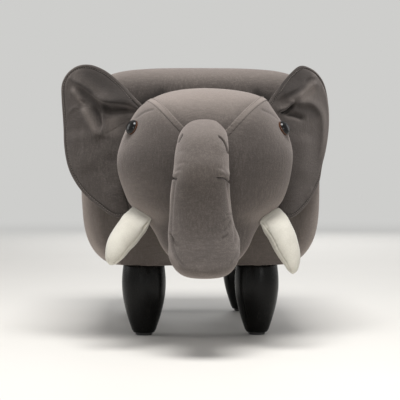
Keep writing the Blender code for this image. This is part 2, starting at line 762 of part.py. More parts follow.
def make_trunk(head_space):
    form = trunk_form()
    lining = new_object("trunk_lining", offset("trunk_lining", form, COVER))
    cover = new_object("trunk_cover", form, VELVET)
    cut(cover, lining, head_space)
    filling = new_object("trunk_filling", offset("trunk_filling", form, COVER + GAP), FIBRE)
    cut(filling, head_space)


# Tusks: fat stuffed cones that curve from sideways to straight down
TUSK_RADII = (0.90, 0.98, 1.00, 0.93, 0.72, 0.36)
TUSK_PITCH = (math.radians(40), math.radians(78))  # below level, at the root and at the tip
TUSK_TURN = math.radians(42)  # from sideways towards the front


def make_tusks(head_space):
    steps = len(TUSK_RADII) - 1
    spread = head_level(TUSK_HEIGHT)[0] - TUSK_INSET
    for side, sign in SIDES.items():
        point = Vector((sign * spread, NECK - HEAD_DEPTH + TUSK_BACK, TUSK_HEIGHT))
        path = [point]
        for step in range(steps):
            pitch = TUSK_PITCH[0] + (TUSK_PITCH[1] - TUSK_PITCH[0]) * step / (steps - 1)
            across = sign * math.cos(pitch) * math.cos(TUSK_TURN)
            forward = math.cos(pitch) * math.sin(TUSK_TURN)
            along = Vector((across, -forward, -math.sin(pitch)))
            point = point + along * TUSK_LENGTH / steps
            path.append(point)
        fine = smooth_path(path, 2)
        radii = [v.x for v in smooth_path([(r * TUSK_RADIUS, 0, 0) for r in TUSK_RADII], 2)]
        mesh = swept(f"tusk_{side}", fine, radii, SMALL_SIDES, Vector((0, 1, 0)))
        cut(new_object(f"tusk_{side}", mesh, IVORY), head_space)


# Ears: puffed flaps with a thin sewn edge, hinged on the seam along the head's side
EAR_OUTLINE = (
    # outward from the seam and up, as shares of the ear's width and height
    (-0.10, 0.700), (0.10, 0.790), (0.34, 0.905), (0.54, 0.980), (0.68, 1.000), (0.86, 0.955),
    (0.985, 0.830), (1.00, 0.640), (0.905, 0.410), (0.79, 0.275), (0.62, 0.150), (0.40, 0.055),
    (0.20, 0.005), (0.03, 0.020), (-0.06, 0.120), (-0.10, 0.400),
)
EAR_RINGS = ((0.93, 0.0), (0.80, 0.55), (0.45, 1.0))  # share of the outline, and of the puff
EAR_MIDDLE = Vector((0.46, 0.52, 0))


def ear_axis(sign):
    top = Vector((sign * head_side(EAR_SEAM_TOP, EAR_SEAM), EAR_SEAM, EAR_SEAM_TOP))
    low = Vector((sign * head_side(EAR_SEAM_LOW, EAR_SEAM), EAR_SEAM, EAR_SEAM_LOW))
    return top, low


def pivoted(name, mesh, pivot):
    # A moving piece, with its origin on its joint's axis.
    mesh.transform(Matrix.Translation(-pivot))
    made = new_object(name, mesh, VELVET)
    made.location = pivot
    return made


def make_ears(head_space):
    outline = smooth_path([(u, v, 0) for u, v in (*EAR_OUTLINE, EAR_OUTLINE[0])], 2)[:-1]
    for side, sign in SIDES.items():
        top, low = ear_axis(sign)
        out = Vector((sign * math.cos(EAR_SWEEP), math.sin(EAR_SWEEP), 0))
        front = Vector((sign * math.sin(EAR_SWEEP), -math.cos(EAR_SWEEP), 0))

        def placed(spot, depth):
            height = EAR_LOW + spot.y * EAR_HEIGHT
            on_seam = low + (top - low) * ((height - EAR_SEAM_LOW) / EAR_SEAM_LENGTH)
            on_seam.z = height
            curl = EAR_CUP * max(spot.x, 0) ** 2
            return on_seam + out * (spot.x * EAR_WIDTH) + front * (curl + depth)

        def ring(share, puff, face):
            half = (EAR_HEM + (EAR_PUFF - EAR_HEM) * puff) / 2
            spots = [EAR_MIDDLE + (spot - EAR_MIDDLE) * share for spot in outline]
            return [placed(spot, face * half - EAR_HEM / 2) for spot in spots]

        back = [ring(share, puff, -1) for share, puff in EAR_RINGS]
        face = [ring(share, puff, 1) for share, puff in EAR_RINGS]
        rings = back[::-1] + [ring(1.0, 0.0, -1), ring(1.0, 0.0, 1)] + face
        poles = [placed(EAR_MIDDLE, f * EAR_PUFF / 2 - EAR_HEM / 2) for f in (-1, 1)]
        ear = pivoted(f"ear_{side}", lofted(f"ear_{side}", rings, *poles), (top + low) / 2)
        relief = new_object(f"ear_relief_{side}", head_space.data)
        seam = Matrix.Translation(low)
        relief.matrix_world = seam @ Matrix.Rotation(-sign * EAR_BACK, 4, top - low) @ seam.inverted()
        cut(ear, head_space, relief)


# Tail: a slim stuffed tube that leaves the body, turns down and ends in a tuft
TAIL_DROPS = (0.45, 0.68, 0.80, 0.94, 1.00)  # places down the tail, as shares of its length
TUFT_SWELL = (1.0, 0.8, 0.3)  # the last three, as shares of the tuft's radius


def make_tail():
    pivot = Vector((0, BODY_REAR, TAIL_ROOT))
    line = BODY_REAR + TAIL_OFFSET
    path = [pivot + Vector((0, GAP, 0)), pivot + Vector((0, GAP + TAIL_OFFSET / 2, 0))]
    path.append(Vector((0, line, TAIL_ROOT - TAIL_OFFSET)))
    path += [Vector((0, line, TAIL_ROOT - share * TAIL_LENGTH)) for share in TAIL_DROPS]
    radii = [TAIL_RADIUS] * (len(path) - len(TUFT_SWELL)) + [share * TUFT_RADIUS for share in TUFT_SWELL]
    pivoted("tail", swept("tail", path, radii, THIN_SIDES, Vector((1, 0, 0))), pivot)


def main():
    leg_holes = make_legs()
    bolt_holes = make_head_bolts()
    head_holes = [hole for hole, _ in bolt_holes]
    make_box(leg_holes, head_holes)
    make_body(head_holes)
    head = head_form()
    make_head(head, bolt_holes)
    head_space = new_object("head_space", offset("head_space", head, -GAP))
    ear_space = new_object("ear_space", offset("ear_space", head, -EAR_PLAY))
    make_trunk(head_space)
    make_tusks(head_space)
    make_ears(ear_space)
    make_tail()


main()
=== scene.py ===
import math

import bmesh
import bpy
import numpy as np
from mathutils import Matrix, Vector
from mathutils.bvhtree import BVHTree


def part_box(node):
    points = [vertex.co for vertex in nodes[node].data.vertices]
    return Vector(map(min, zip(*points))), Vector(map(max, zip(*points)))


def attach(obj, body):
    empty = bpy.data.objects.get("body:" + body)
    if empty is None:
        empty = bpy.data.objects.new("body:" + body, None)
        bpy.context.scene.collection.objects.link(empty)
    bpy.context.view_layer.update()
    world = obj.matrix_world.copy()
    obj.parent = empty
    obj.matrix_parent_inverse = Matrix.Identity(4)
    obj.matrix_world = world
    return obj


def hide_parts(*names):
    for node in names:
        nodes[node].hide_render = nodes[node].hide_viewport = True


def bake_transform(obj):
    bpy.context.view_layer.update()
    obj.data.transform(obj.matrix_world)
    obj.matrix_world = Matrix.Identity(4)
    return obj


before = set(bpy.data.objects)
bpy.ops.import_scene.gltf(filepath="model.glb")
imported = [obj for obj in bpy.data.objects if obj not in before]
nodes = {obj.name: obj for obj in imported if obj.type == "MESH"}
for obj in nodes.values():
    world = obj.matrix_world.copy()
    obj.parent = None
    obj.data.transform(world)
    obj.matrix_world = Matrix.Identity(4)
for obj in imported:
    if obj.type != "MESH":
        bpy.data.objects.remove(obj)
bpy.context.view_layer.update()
scene = bpy.context.scene
print("frame loaded:", len(nodes), "nodes")


# Camera, fitted to the legs, the seat's edges and the head in the photograph

cameraSetup = {
    "place": (-0.0846, -2.09, 0.25),
    "tiltDown": 1.9,  # degrees
    "turnRight": 2.36,
    "focalPixels": 1510,
    "framePixels": 400,
    "sensor": 36.0,
}


def makeCamera(setup):
    data = bpy.data.cameras.new("photoCamera")
    data.sensor_width = setup["sensor"]
    data.lens = setup["sensor"] * setup["focalPixels"] / setup["framePixels"]
    made = bpy.data.objects.new("photoCamera", data)
    scene.collection.objects.link(made)
    made.location = setup["place"]
    made.rotation_euler = (math.radians(90 - setup["tiltDown"]), 0, math.radians(-setup["turnRight"]))
    bpy.context.view_layer.update()
    scene.camera = made
    return made


camera = makeCamera(cameraSetup)
eyePoint = np.array(camera.location)
lensTurn = np.array(camera.matrix_world.to_3x3())
halfFrame = cameraSetup["framePixels"] / 2
focal = cameraSetup["focalPixels"]
missDepth = -0.2  # where a look past a piece is taken to end


def rayThrough(spot):
    way = lensTurn @ np.array(((spot[0] - halfFrame) / focal, (halfFrame - spot[1]) / focal, -1.0))
    return way / np.linalg.norm(way)


def pixelsOf(points):
    seen = (np.asarray(points) - eyePoint) @ lensTurn
    return halfFrame + focal * seen[:, :2] / seen[:, 2:] * (-1, 1)


def onPlane(spot, point, normal):
    way = rayThrough(spot)
    return eyePoint + way * (np.dot(np.asarray(point) - eyePoint, normal) / np.dot(way, normal))


def atDepth(spot, y):
    return onPlane(spot, (0, y, 0), (0, 1, 0))


def onMesh(spot, tree):
    found = tree.ray_cast(Vector(eyePoint), Vector(rayThrough(spot)))[0]
    if found is None:
        found = tree.find_nearest(Vector(atDepth(spot, missDepth)))[0]
    return np.array(found)


# Curves and distances

signOf = {"left": -1, "right": 1}


def step(low, high, value):
    t = np.clip((np.asarray(value, float) - low) / (high - low), 0, 1)
    return t * t * (3 - 2 * t)


def bell(away, width):
    return np.exp(-((away / width) ** 2))


def unit(ways):
    return ways / np.linalg.norm(ways, axis=-1, keepdims=True)


def power(value, exponent):
    return np.sign(value) * np.abs(value) ** exponent


def turnsOf(sides):
    return 2 * np.pi * np.arange(sides) / sides


def squared(turns, squareness):
    # cosines and sines of a circle that is drawn out towards a square
    return power(np.cos(turns), 2 / squareness), power(np.sin(turns), 2 / squareness)


def ringAt(middle, first, second, sides):
    turns = turnsOf(sides)[:, None]
    return np.asarray(middle) + np.cos(turns) * first + np.sin(turns) * second


def through(points, count, closed=False):
    # a smooth line through the points
    known = np.asarray(points, float)
    if closed:
        padded = np.vstack((known[-1], known, known[0], known[1]))
        t = np.linspace(0, len(known), count, endpoint=False)
    else:
        padded = np.vstack((2 * known[0] - known[1], known, 2 * known[-1] - known[-2]))
        t = np.linspace(0, len(known) - 1, count)
    i = np.minimum(t.astype(int), len(padded) - 4)
    f = (t - i)[:, None]
    a, b, c, d = padded[i], padded[i + 1], padded[i + 2], padded[i + 3]
    return 0.5 * (2 * b + (c - a) * f + (2 * a - 5 * b + 4 * c - d) * f**2 + (3 * b - a - 3 * c + d) * f**3)


def evenly(points, count, closed=False):
    line = through(points, 40 * len(points), closed)
    if closed:
        line = np.vstack((line, line[0]))
    run = np.concatenate(([0], np.cumsum(np.linalg.norm(np.diff(line, axis=0), axis=1))))
    at = np.linspace(0, run[-1], count, endpoint=not closed)
    return np.stack([np.interp(at, run, line[:, k]) for k in range(line.shape[1])], axis=1)


def evenLevels(levels, scales, count):
    # a table of levels spaced evenly; the scales make its columns comparable
    return evenly(np.array(levels) * scales, count) / scales


def nearLine(points, line):
    # distance from each point to a line of points, and how far along the line that is
    points, line = np.asarray(points, float), np.asarray(line, float)
    start, move = line[:-1], np.diff(line, axis=0)
    size = np.maximum((move**2).sum(1), 1e-12)
    away, along = np.empty(len(points)), np.empty(len(points))
    for rows in np.array_split(np.arange(len(points)), len(points) // 20000 + 1):
        rel = points[rows, None] - start
        share = np.clip((rel * move).sum(2) / size, 0, 1)
        gap = np.linalg.norm(rel - share[..., None] * move, axis=2)
        best = gap.argmin(1)
        each = np.arange(len(rows))
        away[rows] = gap[each, best]
        along[rows] = (best + share[each, best]) / len(move)
    return away, along


def ending(along, fade):
    return step(0, fade, along) * step(0, fade, 1 - along) if fade else 1


def fold(spots, line, width, fade):
    # 1 on the line, falling off to its sides and towards its ends
    away, along = nearLine(spots, through(line, 8 * len(line)))
    return bell(away, width) * ending(along, fade)


def folds(spots, table, fade):
    return sum(amount * fold(spots, line, width, fade) for line, width, amount in table)


def lip(spots, line, sharp, soft, start, end, fade=0.15):
    # a one-sided fold: steep to the right of the line as it runs, gentle to its left
    path = through(line, 8 * len(line))
    away, along = nearLine(spots, path)
    here = np.minimum((along * (len(path) - 1)).astype(int), len(path) - 2)
    way, rel = np.diff(path, axis=0)[here], spots - path[here]
    right = way[:, 0] * rel[:, 1] - way[:, 1] * rel[:, 0] > 0  # pixel rows run downwards
    height = start + (end - start) * step(0.3, 0.6, along)
    return np.where(right, np.exp(-away / sharp), bell(away, soft)) * ending(along, fade) * height


# Meshes

def newPiece(name, verts, faces=(), edges=()):
    mesh = bpy.data.meshes.new(name)
    mesh.from_pydata([tuple(v) for v in verts], edges, [tuple(f) for f in faces])
    mesh.validate()
    mesh.shade_smooth()
    made = bpy.data.objects.new(name, mesh)
    scene.collection.objects.link(made)
    return made


def editMesh(obj, change):
    shape = bmesh.new()
    shape.from_mesh(obj.data)
    change(shape)
    shape.to_mesh(obj.data)
    shape.free()


def lofted(name, rings, firstPole=None, lastPole=None):
    rings = np.asarray(rings, float)
    count, sides = rings.shape[:2]
    verts = list(rings.reshape(-1, 3))
    k = np.arange(sides)
    after = (k + 1) % sides
    faces = []
    for r in range(count - 1):
        low, high = r * sides, (r + 1) * sides
        faces += list(zip(low + k, low + after, high + after, high + k))
    for base, pole in ((0, firstPole), ((count - 1) * sides, lastPole)):
        if pole is None:
            faces.append(tuple(base + k))
            continue
        verts.append(np.asarray(pole, float))
        faces += list(zip(base + k, base + after, [len(verts) - 1] * sides))
    made = newPiece(name, verts, faces)
    editMesh(made, lambda shape: bmesh.ops.recalc_face_normals(shape, faces=shape.faces))
    return made


def vectorsOf(source, name):
    flat = np.empty(len(source) * 3, np.float32)
    source.foreach_get(name, flat)
    return flat.reshape(-1, 3).astype(float)


def coordsOf(mesh):
    return vectorsOf(mesh.vertices, "co")


def normalsOf(mesh):
    return vectorsOf(mesh.vertex_normals, "vector")


def setCoords(obj, coords):
    obj.data.vertices.foreach_set("co", np.asarray(coords, np.float32).ravel())
    obj.data.update()


def lensSkin(obj):
    # the piece's places, normals and pixels in the photograph, and how much it faces the camera
    coords, normals = coordsOf(obj.data), normalsOf(obj.data)
    facing = (normals * (eyePoint - coords)).sum(1) / 2  # about a cosine, as the camera stands 2 m away
    return coords, normals, pixelsOf(coords), facing


def drawIn(obj, depth):
    # moves the skin inwards; covers start smaller, because the cloth run swells them
    setCoords(obj, coordsOf(obj.data) - normalsOf(obj.data) * depth)


def bake(obj):
    # turns live modifiers into plain mesh
    graph = bpy.context.evaluated_depsgraph_get()
    solid = bpy.data.meshes.new_from_object(obj.evaluated_get(graph))
    old = obj.data
    obj.modifiers.clear()
    obj.data = solid
    bpy.data.meshes.remove(old)
    solid.name = obj.name
    return obj


def finer(obj, levels):
    change = obj.modifiers.new("finer", "SUBSURF")
    change.levels = change.render_levels = levels
    return bake(obj)


def denser(obj, chosen):
    # halves the faces round the chosen vertices
    near = set(np.flatnonzero(chosen).tolist())

    def halve(shape):
        edges = [e for e in shape.edges if e.verts[0].index in near and e.verts[1].index in near]
        bmesh.ops.subdivide_edges(shape, edges=edges, cuts=1, use_grid_fill=True)

    editMesh(obj, halve)
    obj.data.shade_smooth()


def treeOf(obj):
    return BVHTree.FromObject(obj, bpy.context.evaluated_depsgraph_get())


def smoothed(obj, values, rounds):
    # the values averaged with those of the neighbouring vertices
    ends = np.empty(len(obj.data.edges) * 2, np.int32)
    obj.data.edges.foreach_get("vertices", ends)
    a, b = ends.reshape(-1, 2).T
    count = len(values)
    degree = np.bincount(a, minlength=count) + np.bincount(b, minlength=count)
    for _ in range(rounds):
        total = np.bincount(a, values[b], count) + np.bincount(b, values[a], count)
        values = 0.5 * values + 0.5 * total / degree
    return values


def mark(obj, name, values):
    layer = obj.data.attributes.get(name) or obj.data.attributes.new(name, "FLOAT", "POINT")
    layer.data.foreach_set("value", np.asarray(values, np.float32))


clothRun = {"frames": 14, "stiffness": 22.0, "bending": 1.2, "quality": 5}


def puff(obj, held, pressure, cap, mass=0.35, evened=6):
    # swells a stuffed cover for a few frames, with its seams held
    group = obj.vertex_groups.new(name="seams")
    for level in range(1, 11):
        chosen = np.flatnonzero(np.round(held * 10).astype(int) == level)
        group.add([int(i) for i in chosen], level / 10, "REPLACE")
    cloth = obj.modifiers.new("cover", "CLOTH")
    made = cloth.settings
    made.quality = clothRun["quality"]
    made.mass = mass
    made.tension_stiffness = made.compression_stiffness = clothRun["stiffness"]
    made.shear_stiffness = clothRun["stiffness"] / 2
    made.bending_stiffness = clothRun["bending"]
    made.vertex_group_mass = "seams"
    made.use_pressure = True
    made.uniform_pressure_force = pressure
    made.effector_weights.gravity = 0
    cloth.point_cache.frame_start = 1
    cloth.point_cache.frame_end = clothRun["frames"]
    for f in range(1, clothRun["frames"] + 1):
        scene.frame_set(f)
    graph = bpy.context.evaluated_depsgraph_get()
    swollen = coordsOf(obj.evaluated_get(graph).to_mesh())
    obj.modifiers.remove(cloth)
    obj.vertex_groups.remove(group)
    scene.frame_set(1)
    rest = coordsOf(obj.data)
    move = np.stack([smoothed(obj, m, evened) for m in (swollen - rest).T], axis=1)
    far = np.linalg.norm(move, axis=1, keepdims=True)
    move *= cap * np.tanh(far / cap) / np.maximum(far, 1e-9)
    setCoords(obj, rest + move)
    furthest = float(np.linalg.norm(move, axis=1).max()) * 1000
    print("   ", obj.name, "swelled by up to", round(furthest, 1), "mm")
    return obj


# Shader sums

def plug(socket, value):
    # links a wire to the socket, or sets a plain value on it
    if isinstance(value, Wire):
        value.tree.links.new(value.socket, socket)
    else:
        socket.default_value = value


class Wire:
    def __init__(self, tree, socket=None):
        self.tree = tree
        self.socket = socket

    def node(self, kind, settings=None, sockets=None, out=0):
        made = self.tree.nodes.new(kind)
        for name, value in (settings or {}).items():
            setattr(made, name, value)
        for key, value in (sockets or {}).items():
            plug(made.inputs[key], value)
        return Wire(self.tree, made.outputs[out])

    def sum(self, operation, *values):
        return self.node("ShaderNodeMath", {"operation": operation}, dict(enumerate(values)))

    def __add__(self, other):
        return self.sum("ADD", self, other)

    __radd__ = __add__

    def __mul__(self, other):
        return self.sum("MULTIPLY", self, other)

    __rmul__ = __mul__

    def __rsub__(self, other):
        return self.sum("SUBTRACT", other, self)

    def between(self, low, high, kind="LINEAR"):
        return self.node(
            "ShaderNodeMapRange", {"clamp": True, "interpolation_type": kind},
            {"Value": self, "From Min": low, "From Max": high},
        )

    def blend(self, first, second):
        # self is the share of the second colour
        return self.node("ShaderNodeMix", {"data_type": "RGBA"}, {0: self, 6: first, 7: second}, out=2)

    def noise(self, scale, detail=2.0, rough=0.5):
        return self.node(
            "ShaderNodeTexNoise", {"noise_dimensions": "3D"},
            {"Vector": self, "Scale": scale, "Detail": detail, "Roughness": rough},
        )

    def stretched(self, scale):
        return self.node("ShaderNodeMapping", {"vector_type": "POINT"}, {"Vector": self, "Scale": scale})

    def painted(self, name):
        return self.node("ShaderNodeAttribute", {"attribute_name": name}, out=2)

    def bump(self, distance, strength):
        return self.node("ShaderNodeBump", None, {"Height": self, "Distance": distance, "Strength": strength})


def newMaterial(name):
    made = bpy.data.materials.new(name)
    made.use_nodes = True
    where = Wire(made.node_tree).node("ShaderNodeTexCoord", out=3)
    return made, made.node_tree.nodes["Principled BSDF"], where


def setInputs(node, values):
    for name, value in values.items():
        plug(node.inputs[name], value)


def tone(r, g, b):
    # an sRGB colour of 0 to 255, as Blender's linear values
    def linear(c):
        c = c / 255
        return c / 12.92 if c <= 0.04045 else ((c + 0.055) / 1.055) ** 2.4

    return (linear(r), linear(g), linear(b), 1.0)


velvetLook = {
    "dark": tone(59, 54, 51),
    "mid": tone(75, 69, 65),
    "light": tone(97, 90, 85),
    "paintedLightColour": tone(142, 132, 125),  # painted light: the colour that faces turned to the lamps are painted towards
    # painted shade: the colour that grooves, creases, seams and corners are painted towards
    "paintedShade": tone(30, 27, 25),
    "sheen": 0.4,
    "sheenRough": 0.6,
    "sheenTint": tone(226, 214, 208),
}


def velvetMaterial(look):
    made, shader, where = newMaterial("greyVelvet")
    patches = where.noise(11).between(0.25, 0.75)  # pile brushed one way or the other
    turned = where.noise(24).between(0.42, 0.58)
    level = where.stretched((0.28, 0.28, 1)).noise(400, 2, 0.55)
    upright = where.stretched((1, 1, 0.28)).noise(400, 2, 0.55)
    streaks = (turned * level + (1 - turned) * upright).between(0.25, 0.75)  # crushed in thin lines
    grain = where.noise(620, 2, 0.6).between(0.25, 0.75)
    fibre = where.noise(1900, 1)
    pileAndPaintedLight = patches * 0.25 + streaks * 0.35 + grain * 0.4
    colour = pileAndPaintedLight.between(0.22, 0.62).blend(look["dark"], look["mid"])
    colour = pileAndPaintedLight.between(0.55, 0.95).blend(colour, look["light"])
    # painted light: marked places are blended towards the lit colour
    colour = (where.painted("paintedLight") * (0.75 + 0.35 * pileAndPaintedLight)).blend(colour, look["paintedLightColour"])
    setInputs(shader, {
        # painted shade: marked places are blended towards the dark colour
        "Base Color": where.painted("paintedShade").blend(colour, look["paintedShade"]),
        "Roughness": 0.97 - 0.14 * streaks,
        "Normal": (fibre * 0.35 + grain * 0.45 + streaks * 0.5).bump(0.0006, 0.55),
        "Sheen Weight": look["sheen"],
        "Sheen Roughness": look["sheenRough"],
        "Sheen Tint": look["sheenTint"],
        "Specular IOR Level": 0.15,
    })
    return made


ivoryLook = {
    "shade": tone(192, 187, 175),
    "cloth": tone(208, 204, 192),
    # painted shade: the colour that the seam's groove and the creases are painted towards
    "paintedShade": tone(150, 141, 126),
    "sheen": 0.3,
}


def ivoryMaterial(look):
    made, shader, where = newMaterial("ivoryPlush")
    patches = where.noise(45, 3)
    grain = where.noise(800, 2, 0.6)
    colour = (patches * 0.6 + grain * 0.4).between(0.35, 0.6).blend(look["shade"], look["cloth"])
    setInputs(shader, {
        # painted shade: marked places are blended towards the dark colour
        "Base Color": where.painted("paintedShade").blend(colour, look["paintedShade"]),
        "Roughness": 0.85 + 0.12 * grain,
        "Normal": (grain * 0.7 + patches * 0.5).bump(0.0006, 0.5),
        "Sheen Weight": look["sheen"],
        "Specular IOR Level": 0.2,
    })
    return made


def lacquerMaterial():
    made, shader, where = newMaterial("blackLacquer")
    grain = where.stretched((1, 1, 0.08)).noise(160, 3, 0.6)
    peel = where.noise(240)
    dust = where.noise(900, 2, 0.6).between(0.6, 0.8)
    setInputs(shader, {
        "Base Color": (grain * 0.6 + dust * 0.4).blend(tone(7, 7, 6), tone(20, 19, 18)),
        "Roughness": 0.2 + 0.12 * grain + 0.1 * dust,
        "Normal": (grain * 0.7 + peel * 0.3).bump(0.0002, 0.3),
        "IOR": 1.26,
    })
    return made


def dustMaterial():
    made, shader, where = newMaterial("blackDustCloth")
    web = where.noise(700, 4, 0.7)
    dots = where.node("ShaderNodeTexVoronoi", None, {"Vector": where, "Scale": 420}).between(0.1, 0.35)
    setInputs(shader, {
        "Base Color": (web * dots).blend(tone(16, 16, 16), tone(44, 44, 43)),
        "Roughness": 0.82 + 0.15 * web,
        "Normal": (dots + web * 0.5).bump(0.0004, 0.6),
    })
    return made


plainLooks = {
    # grain: scale, detail and roughness of the noise, and along which way it is drawn out
    # tones: the two colours, and between which values of the grain they change
    # rough: least roughness, and what the grain adds; relief: depth and strength
    "blackMoulding": {
        "grain": (1200, 2, 0.6), "tones": (tone(24, 24, 24), tone(38, 38, 37)),
        "rough": (0.4, 0.2), "relief": (0.0002, 0.4),
    },
    "plywood": {
        "grain": (130, 4, 0.6), "drawn": (1, 0.06, 1), "tones": (tone(196, 160, 112), tone(222, 192, 146)),
        "change": (0.3, 0.7), "rough": (0.6, 0.2), "relief": (0.0004, 0.4),
    },
    "zincSteel": {
        "grain": (420, 2, 0.5), "tones": (tone(168, 169, 170), tone(206, 206, 204)),
        "rough": (0.26, 0.2), "metal": 1.0,
    },
    "greyThread": {
        "grain": (1500, 2, 0.5), "tones": (tone(84, 77, 72), tone(120, 112, 105)),
        "change": (0.3, 0.7), "rough": (0.6, 0.2),
    },
}


def plainMaterial(name, look):
    made, shader, where = newMaterial(name)
    grain = where.stretched(look.get("drawn", (1, 1, 1))).noise(*look["grain"])
    least, more = look["rough"]
    setInputs(shader, {
        "Base Color": grain.between(*look.get("change", (0, 1))).blend(*look["tones"]),
        "Roughness": least + more * grain,
        "Metallic": look.get("metal", 0.0),
    })
    if "relief" in look:
        setInputs(shader, {"Normal": grain.bump(*look["relief"])})
    return made


velvet = velvetMaterial(velvetLook)
ivory = ivoryMaterial(ivoryLook)
lacquer = lacquerMaterial()
dustCloth = dustMaterial()
plastic, plywood, steel, thread = (plainMaterial(name, look) for name, look in plainLooks.items())
print("materials made")


paintedLightTurn = {"up": (0.05, 0.95), "down": (0.0, 0.7), "side": (0.5, 0.95)}  # how far a face looks that way, for the painted light


def dress(obj, look, up=0.0, down=0.0, side=0.0, more=0.0):
    # painted light: up, down and side say how much lighter the velvet is painted on faces that look that way,
    # and more adds painted light where it is given
    obj.data.materials.clear()
    obj.data.materials.append(look)
    if np.any(up) or down:
        way = normalsOf(obj.data)
        paintedLight = up * step(*paintedLightTurn["up"], way[:, 2]) + down * step(*paintedLightTurn["down"], -way[:, 2])
        paintedLight += side * step(*paintedLightTurn["side"], np.abs(way[:, 0])) + more
        mark(obj, "paintedLight", np.clip(paintedLight, 0, 1))
    return obj


# Stitches and strands, laid out as copies by node trees

copyParts = {
    # what both trees have: type, settings
    "given": ("NodeGroupInput",),
    "turn": ("FunctionNodeAlignRotationToVector", {"axis": "Z"}),
    "vary": ("FunctionNodeRandomValue", {"data_type": "FLOAT"}),
    "place": ("GeometryNodeInstanceOnPoints",),
    "real": ("GeometryNodeRealizeInstances",),
    "look": ("GeometryNodeSetMaterial",),
    "result": ("NodeGroupOutput",),
}
copyLinks = (
    ("given", "Seed", "vary", "Seed"), ("turn", "Rotation", "place", "Rotation"),
    ("place", "Instances", "real", "Geometry"), ("real", "Geometry", "look", "Geometry"),
    ("given", "Look", "look", "Material"), ("look", "Geometry", "result", "Geometry"),
)


def copyTree(name, sizes, parts, values, links):
    tree = bpy.data.node_groups.new(name, "GeometryNodeTree")
    sockets = {"Geometry": "Geometry", **{size: "Float" for size in sizes}, "Seed": "Int", "Look": "Material"}
    for key, kind in sockets.items():
        tree.interface.new_socket(key, in_out="INPUT", socket_type=f"NodeSocket{kind}")
    tree.interface.new_socket("Geometry", in_out="OUTPUT", socket_type="NodeSocketGeometry")
    made = {}
    for key, (kind, *settings) in {**copyParts, **parts}.items():
        made[key] = tree.nodes.new(kind)
        for setting, value in (settings[0] if settings else {}).items():
            setattr(made[key], setting, value)
    for key, socket, value in values:
        made[key].inputs[socket].default_value = value
    for start, out, end, into in copyLinks + links:
        tree.links.new(made[start].outputs[out], made[end].inputs[into])
    return tree


stitching = copyTree(
    "stitchRow", ("Pitch", "Length", "Thread", "Uneven"),
    {
        "line": ("GeometryNodeMeshToCurve",),
        "spaced": ("GeometryNodeResampleCurve", {"mode": "LENGTH"}),
        "bead": ("GeometryNodeMeshUVSphere",),
        "along": ("GeometryNodeInputTangent",),
        "less": ("ShaderNodeMath", {"operation": "SUBTRACT"}),
        "half": ("ShaderNodeMath", {"operation": "MULTIPLY"}),
        "long": ("ShaderNodeMath", {"operation": "MULTIPLY"}),
        "size": ("ShaderNodeCombineXYZ",),
    },
    (
        ("bead", "Segments", 6), ("bead", "Rings", 5), ("bead", "Radius", 1.0), ("less", 0, 1.0),
        ("half", 1, 0.5),
    ),
    (
        ("given", "Geometry", "line", "Mesh"), ("line", "Curve", "spaced", "Curve"),
        ("given", "Pitch", "spaced", "Length"), ("spaced", "Curve", "place", "Points"),
        ("bead", "Mesh", "place", "Instance"), ("along", "Tangent", "turn", "Vector"),
        ("given", "Uneven", "less", 1), ("less", 0, "vary", 2), ("given", "Length", "half", 0),
        ("half", 0, "long", 0), ("vary", 1, "long", 1), ("given", "Thread", "size", "X"),
        ("given", "Thread", "size", "Y"), ("long", 0, "size", "Z"), ("size", 0, "place", "Scale"),
    ),
)
seamStitch = {"Pitch": 0.0034, "Length": 0.0025, "Thread": 0.00042, "Uneven": 0.12}


def grown(obj, tree, values):
    # runs a tree on the piece and keeps the result as plain mesh
    change = obj.modifiers.new(tree.name, "NODES")
    change.node_group = tree
    for socket in tree.interface.items_tree:
        if socket.item_type == "SOCKET" and socket.in_out == "INPUT" and socket.name in values:
            change[socket.identifier] = values[socket.name]
    bake(obj)
    obj.data.shade_smooth()
    return obj


def stitchRow(name, line, seed, stitch=seamStitch):
    row = newPiece(name, line, edges=[(i, i + 1) for i in range(len(line) - 1)])
    return grown(row, stitching, {**stitch, "Seed": seed, "Look": thread})


def onSkin(points, tree, lift=0.0):
    # the points moved onto a surface, with the surface's normals
    found = [tree.find_nearest(Vector(point))[:2] for point in points]
    normals = np.array([normal for place, normal in found])
    return np.array([place for place, normal in found]) + normals * lift, normals


bandShape = {
    # right half of a felled seam's section: across as a share of the half width and in metres, up as a
    # share of the height and in metres, and how dark it is painted, painted shade along the band's edges
    "section": (
        (0.45, 0.0, 1.0, 0.0, 0.0), (1.0, -0.0005, 0.85, 0.0, 0.1), (1.0, 0.0, 0.35, 0.0, 0.8),
        (1.0, 0.0004, 0.0, -0.0012, 0.9),
    ),
    "crown": 1.04,
    "under": -0.0016,
}


def seamBand(name, line, tree, width, height, look, **pileAndPaintedLight):
    # a felled seam: a flat raised strip that lies on the cover
    places, normals = onSkin(line, tree)
    along = unit(np.gradient(places, axis=0))
    across = unit(np.cross(normals, along))
    right = [(s * width / 2 + out, h * height + up) for s, out, h, up, dark in bandShape["section"]]
    left = [(-s, h) for s, h in right[::-1]]
    section = left + [(0.0, bandShape["crown"] * height)] + right + [(0.0, bandShape["under"])]
    made = lofted(name, [[p + s * a + h * n for s, h in section] for p, a, n in zip(places, across, normals)])
    dark = [row[-1] for row in bandShape["section"]]
    # painted shade along the band's edges, and painted light from the keyword amounts given to dress
    mark(made, "paintedShade", (dark[::-1] + [0.0] + dark + [0.0]) * len(places))
    return dress(made, look, **pileAndPaintedLight)


# Floor, backdrop and lamps

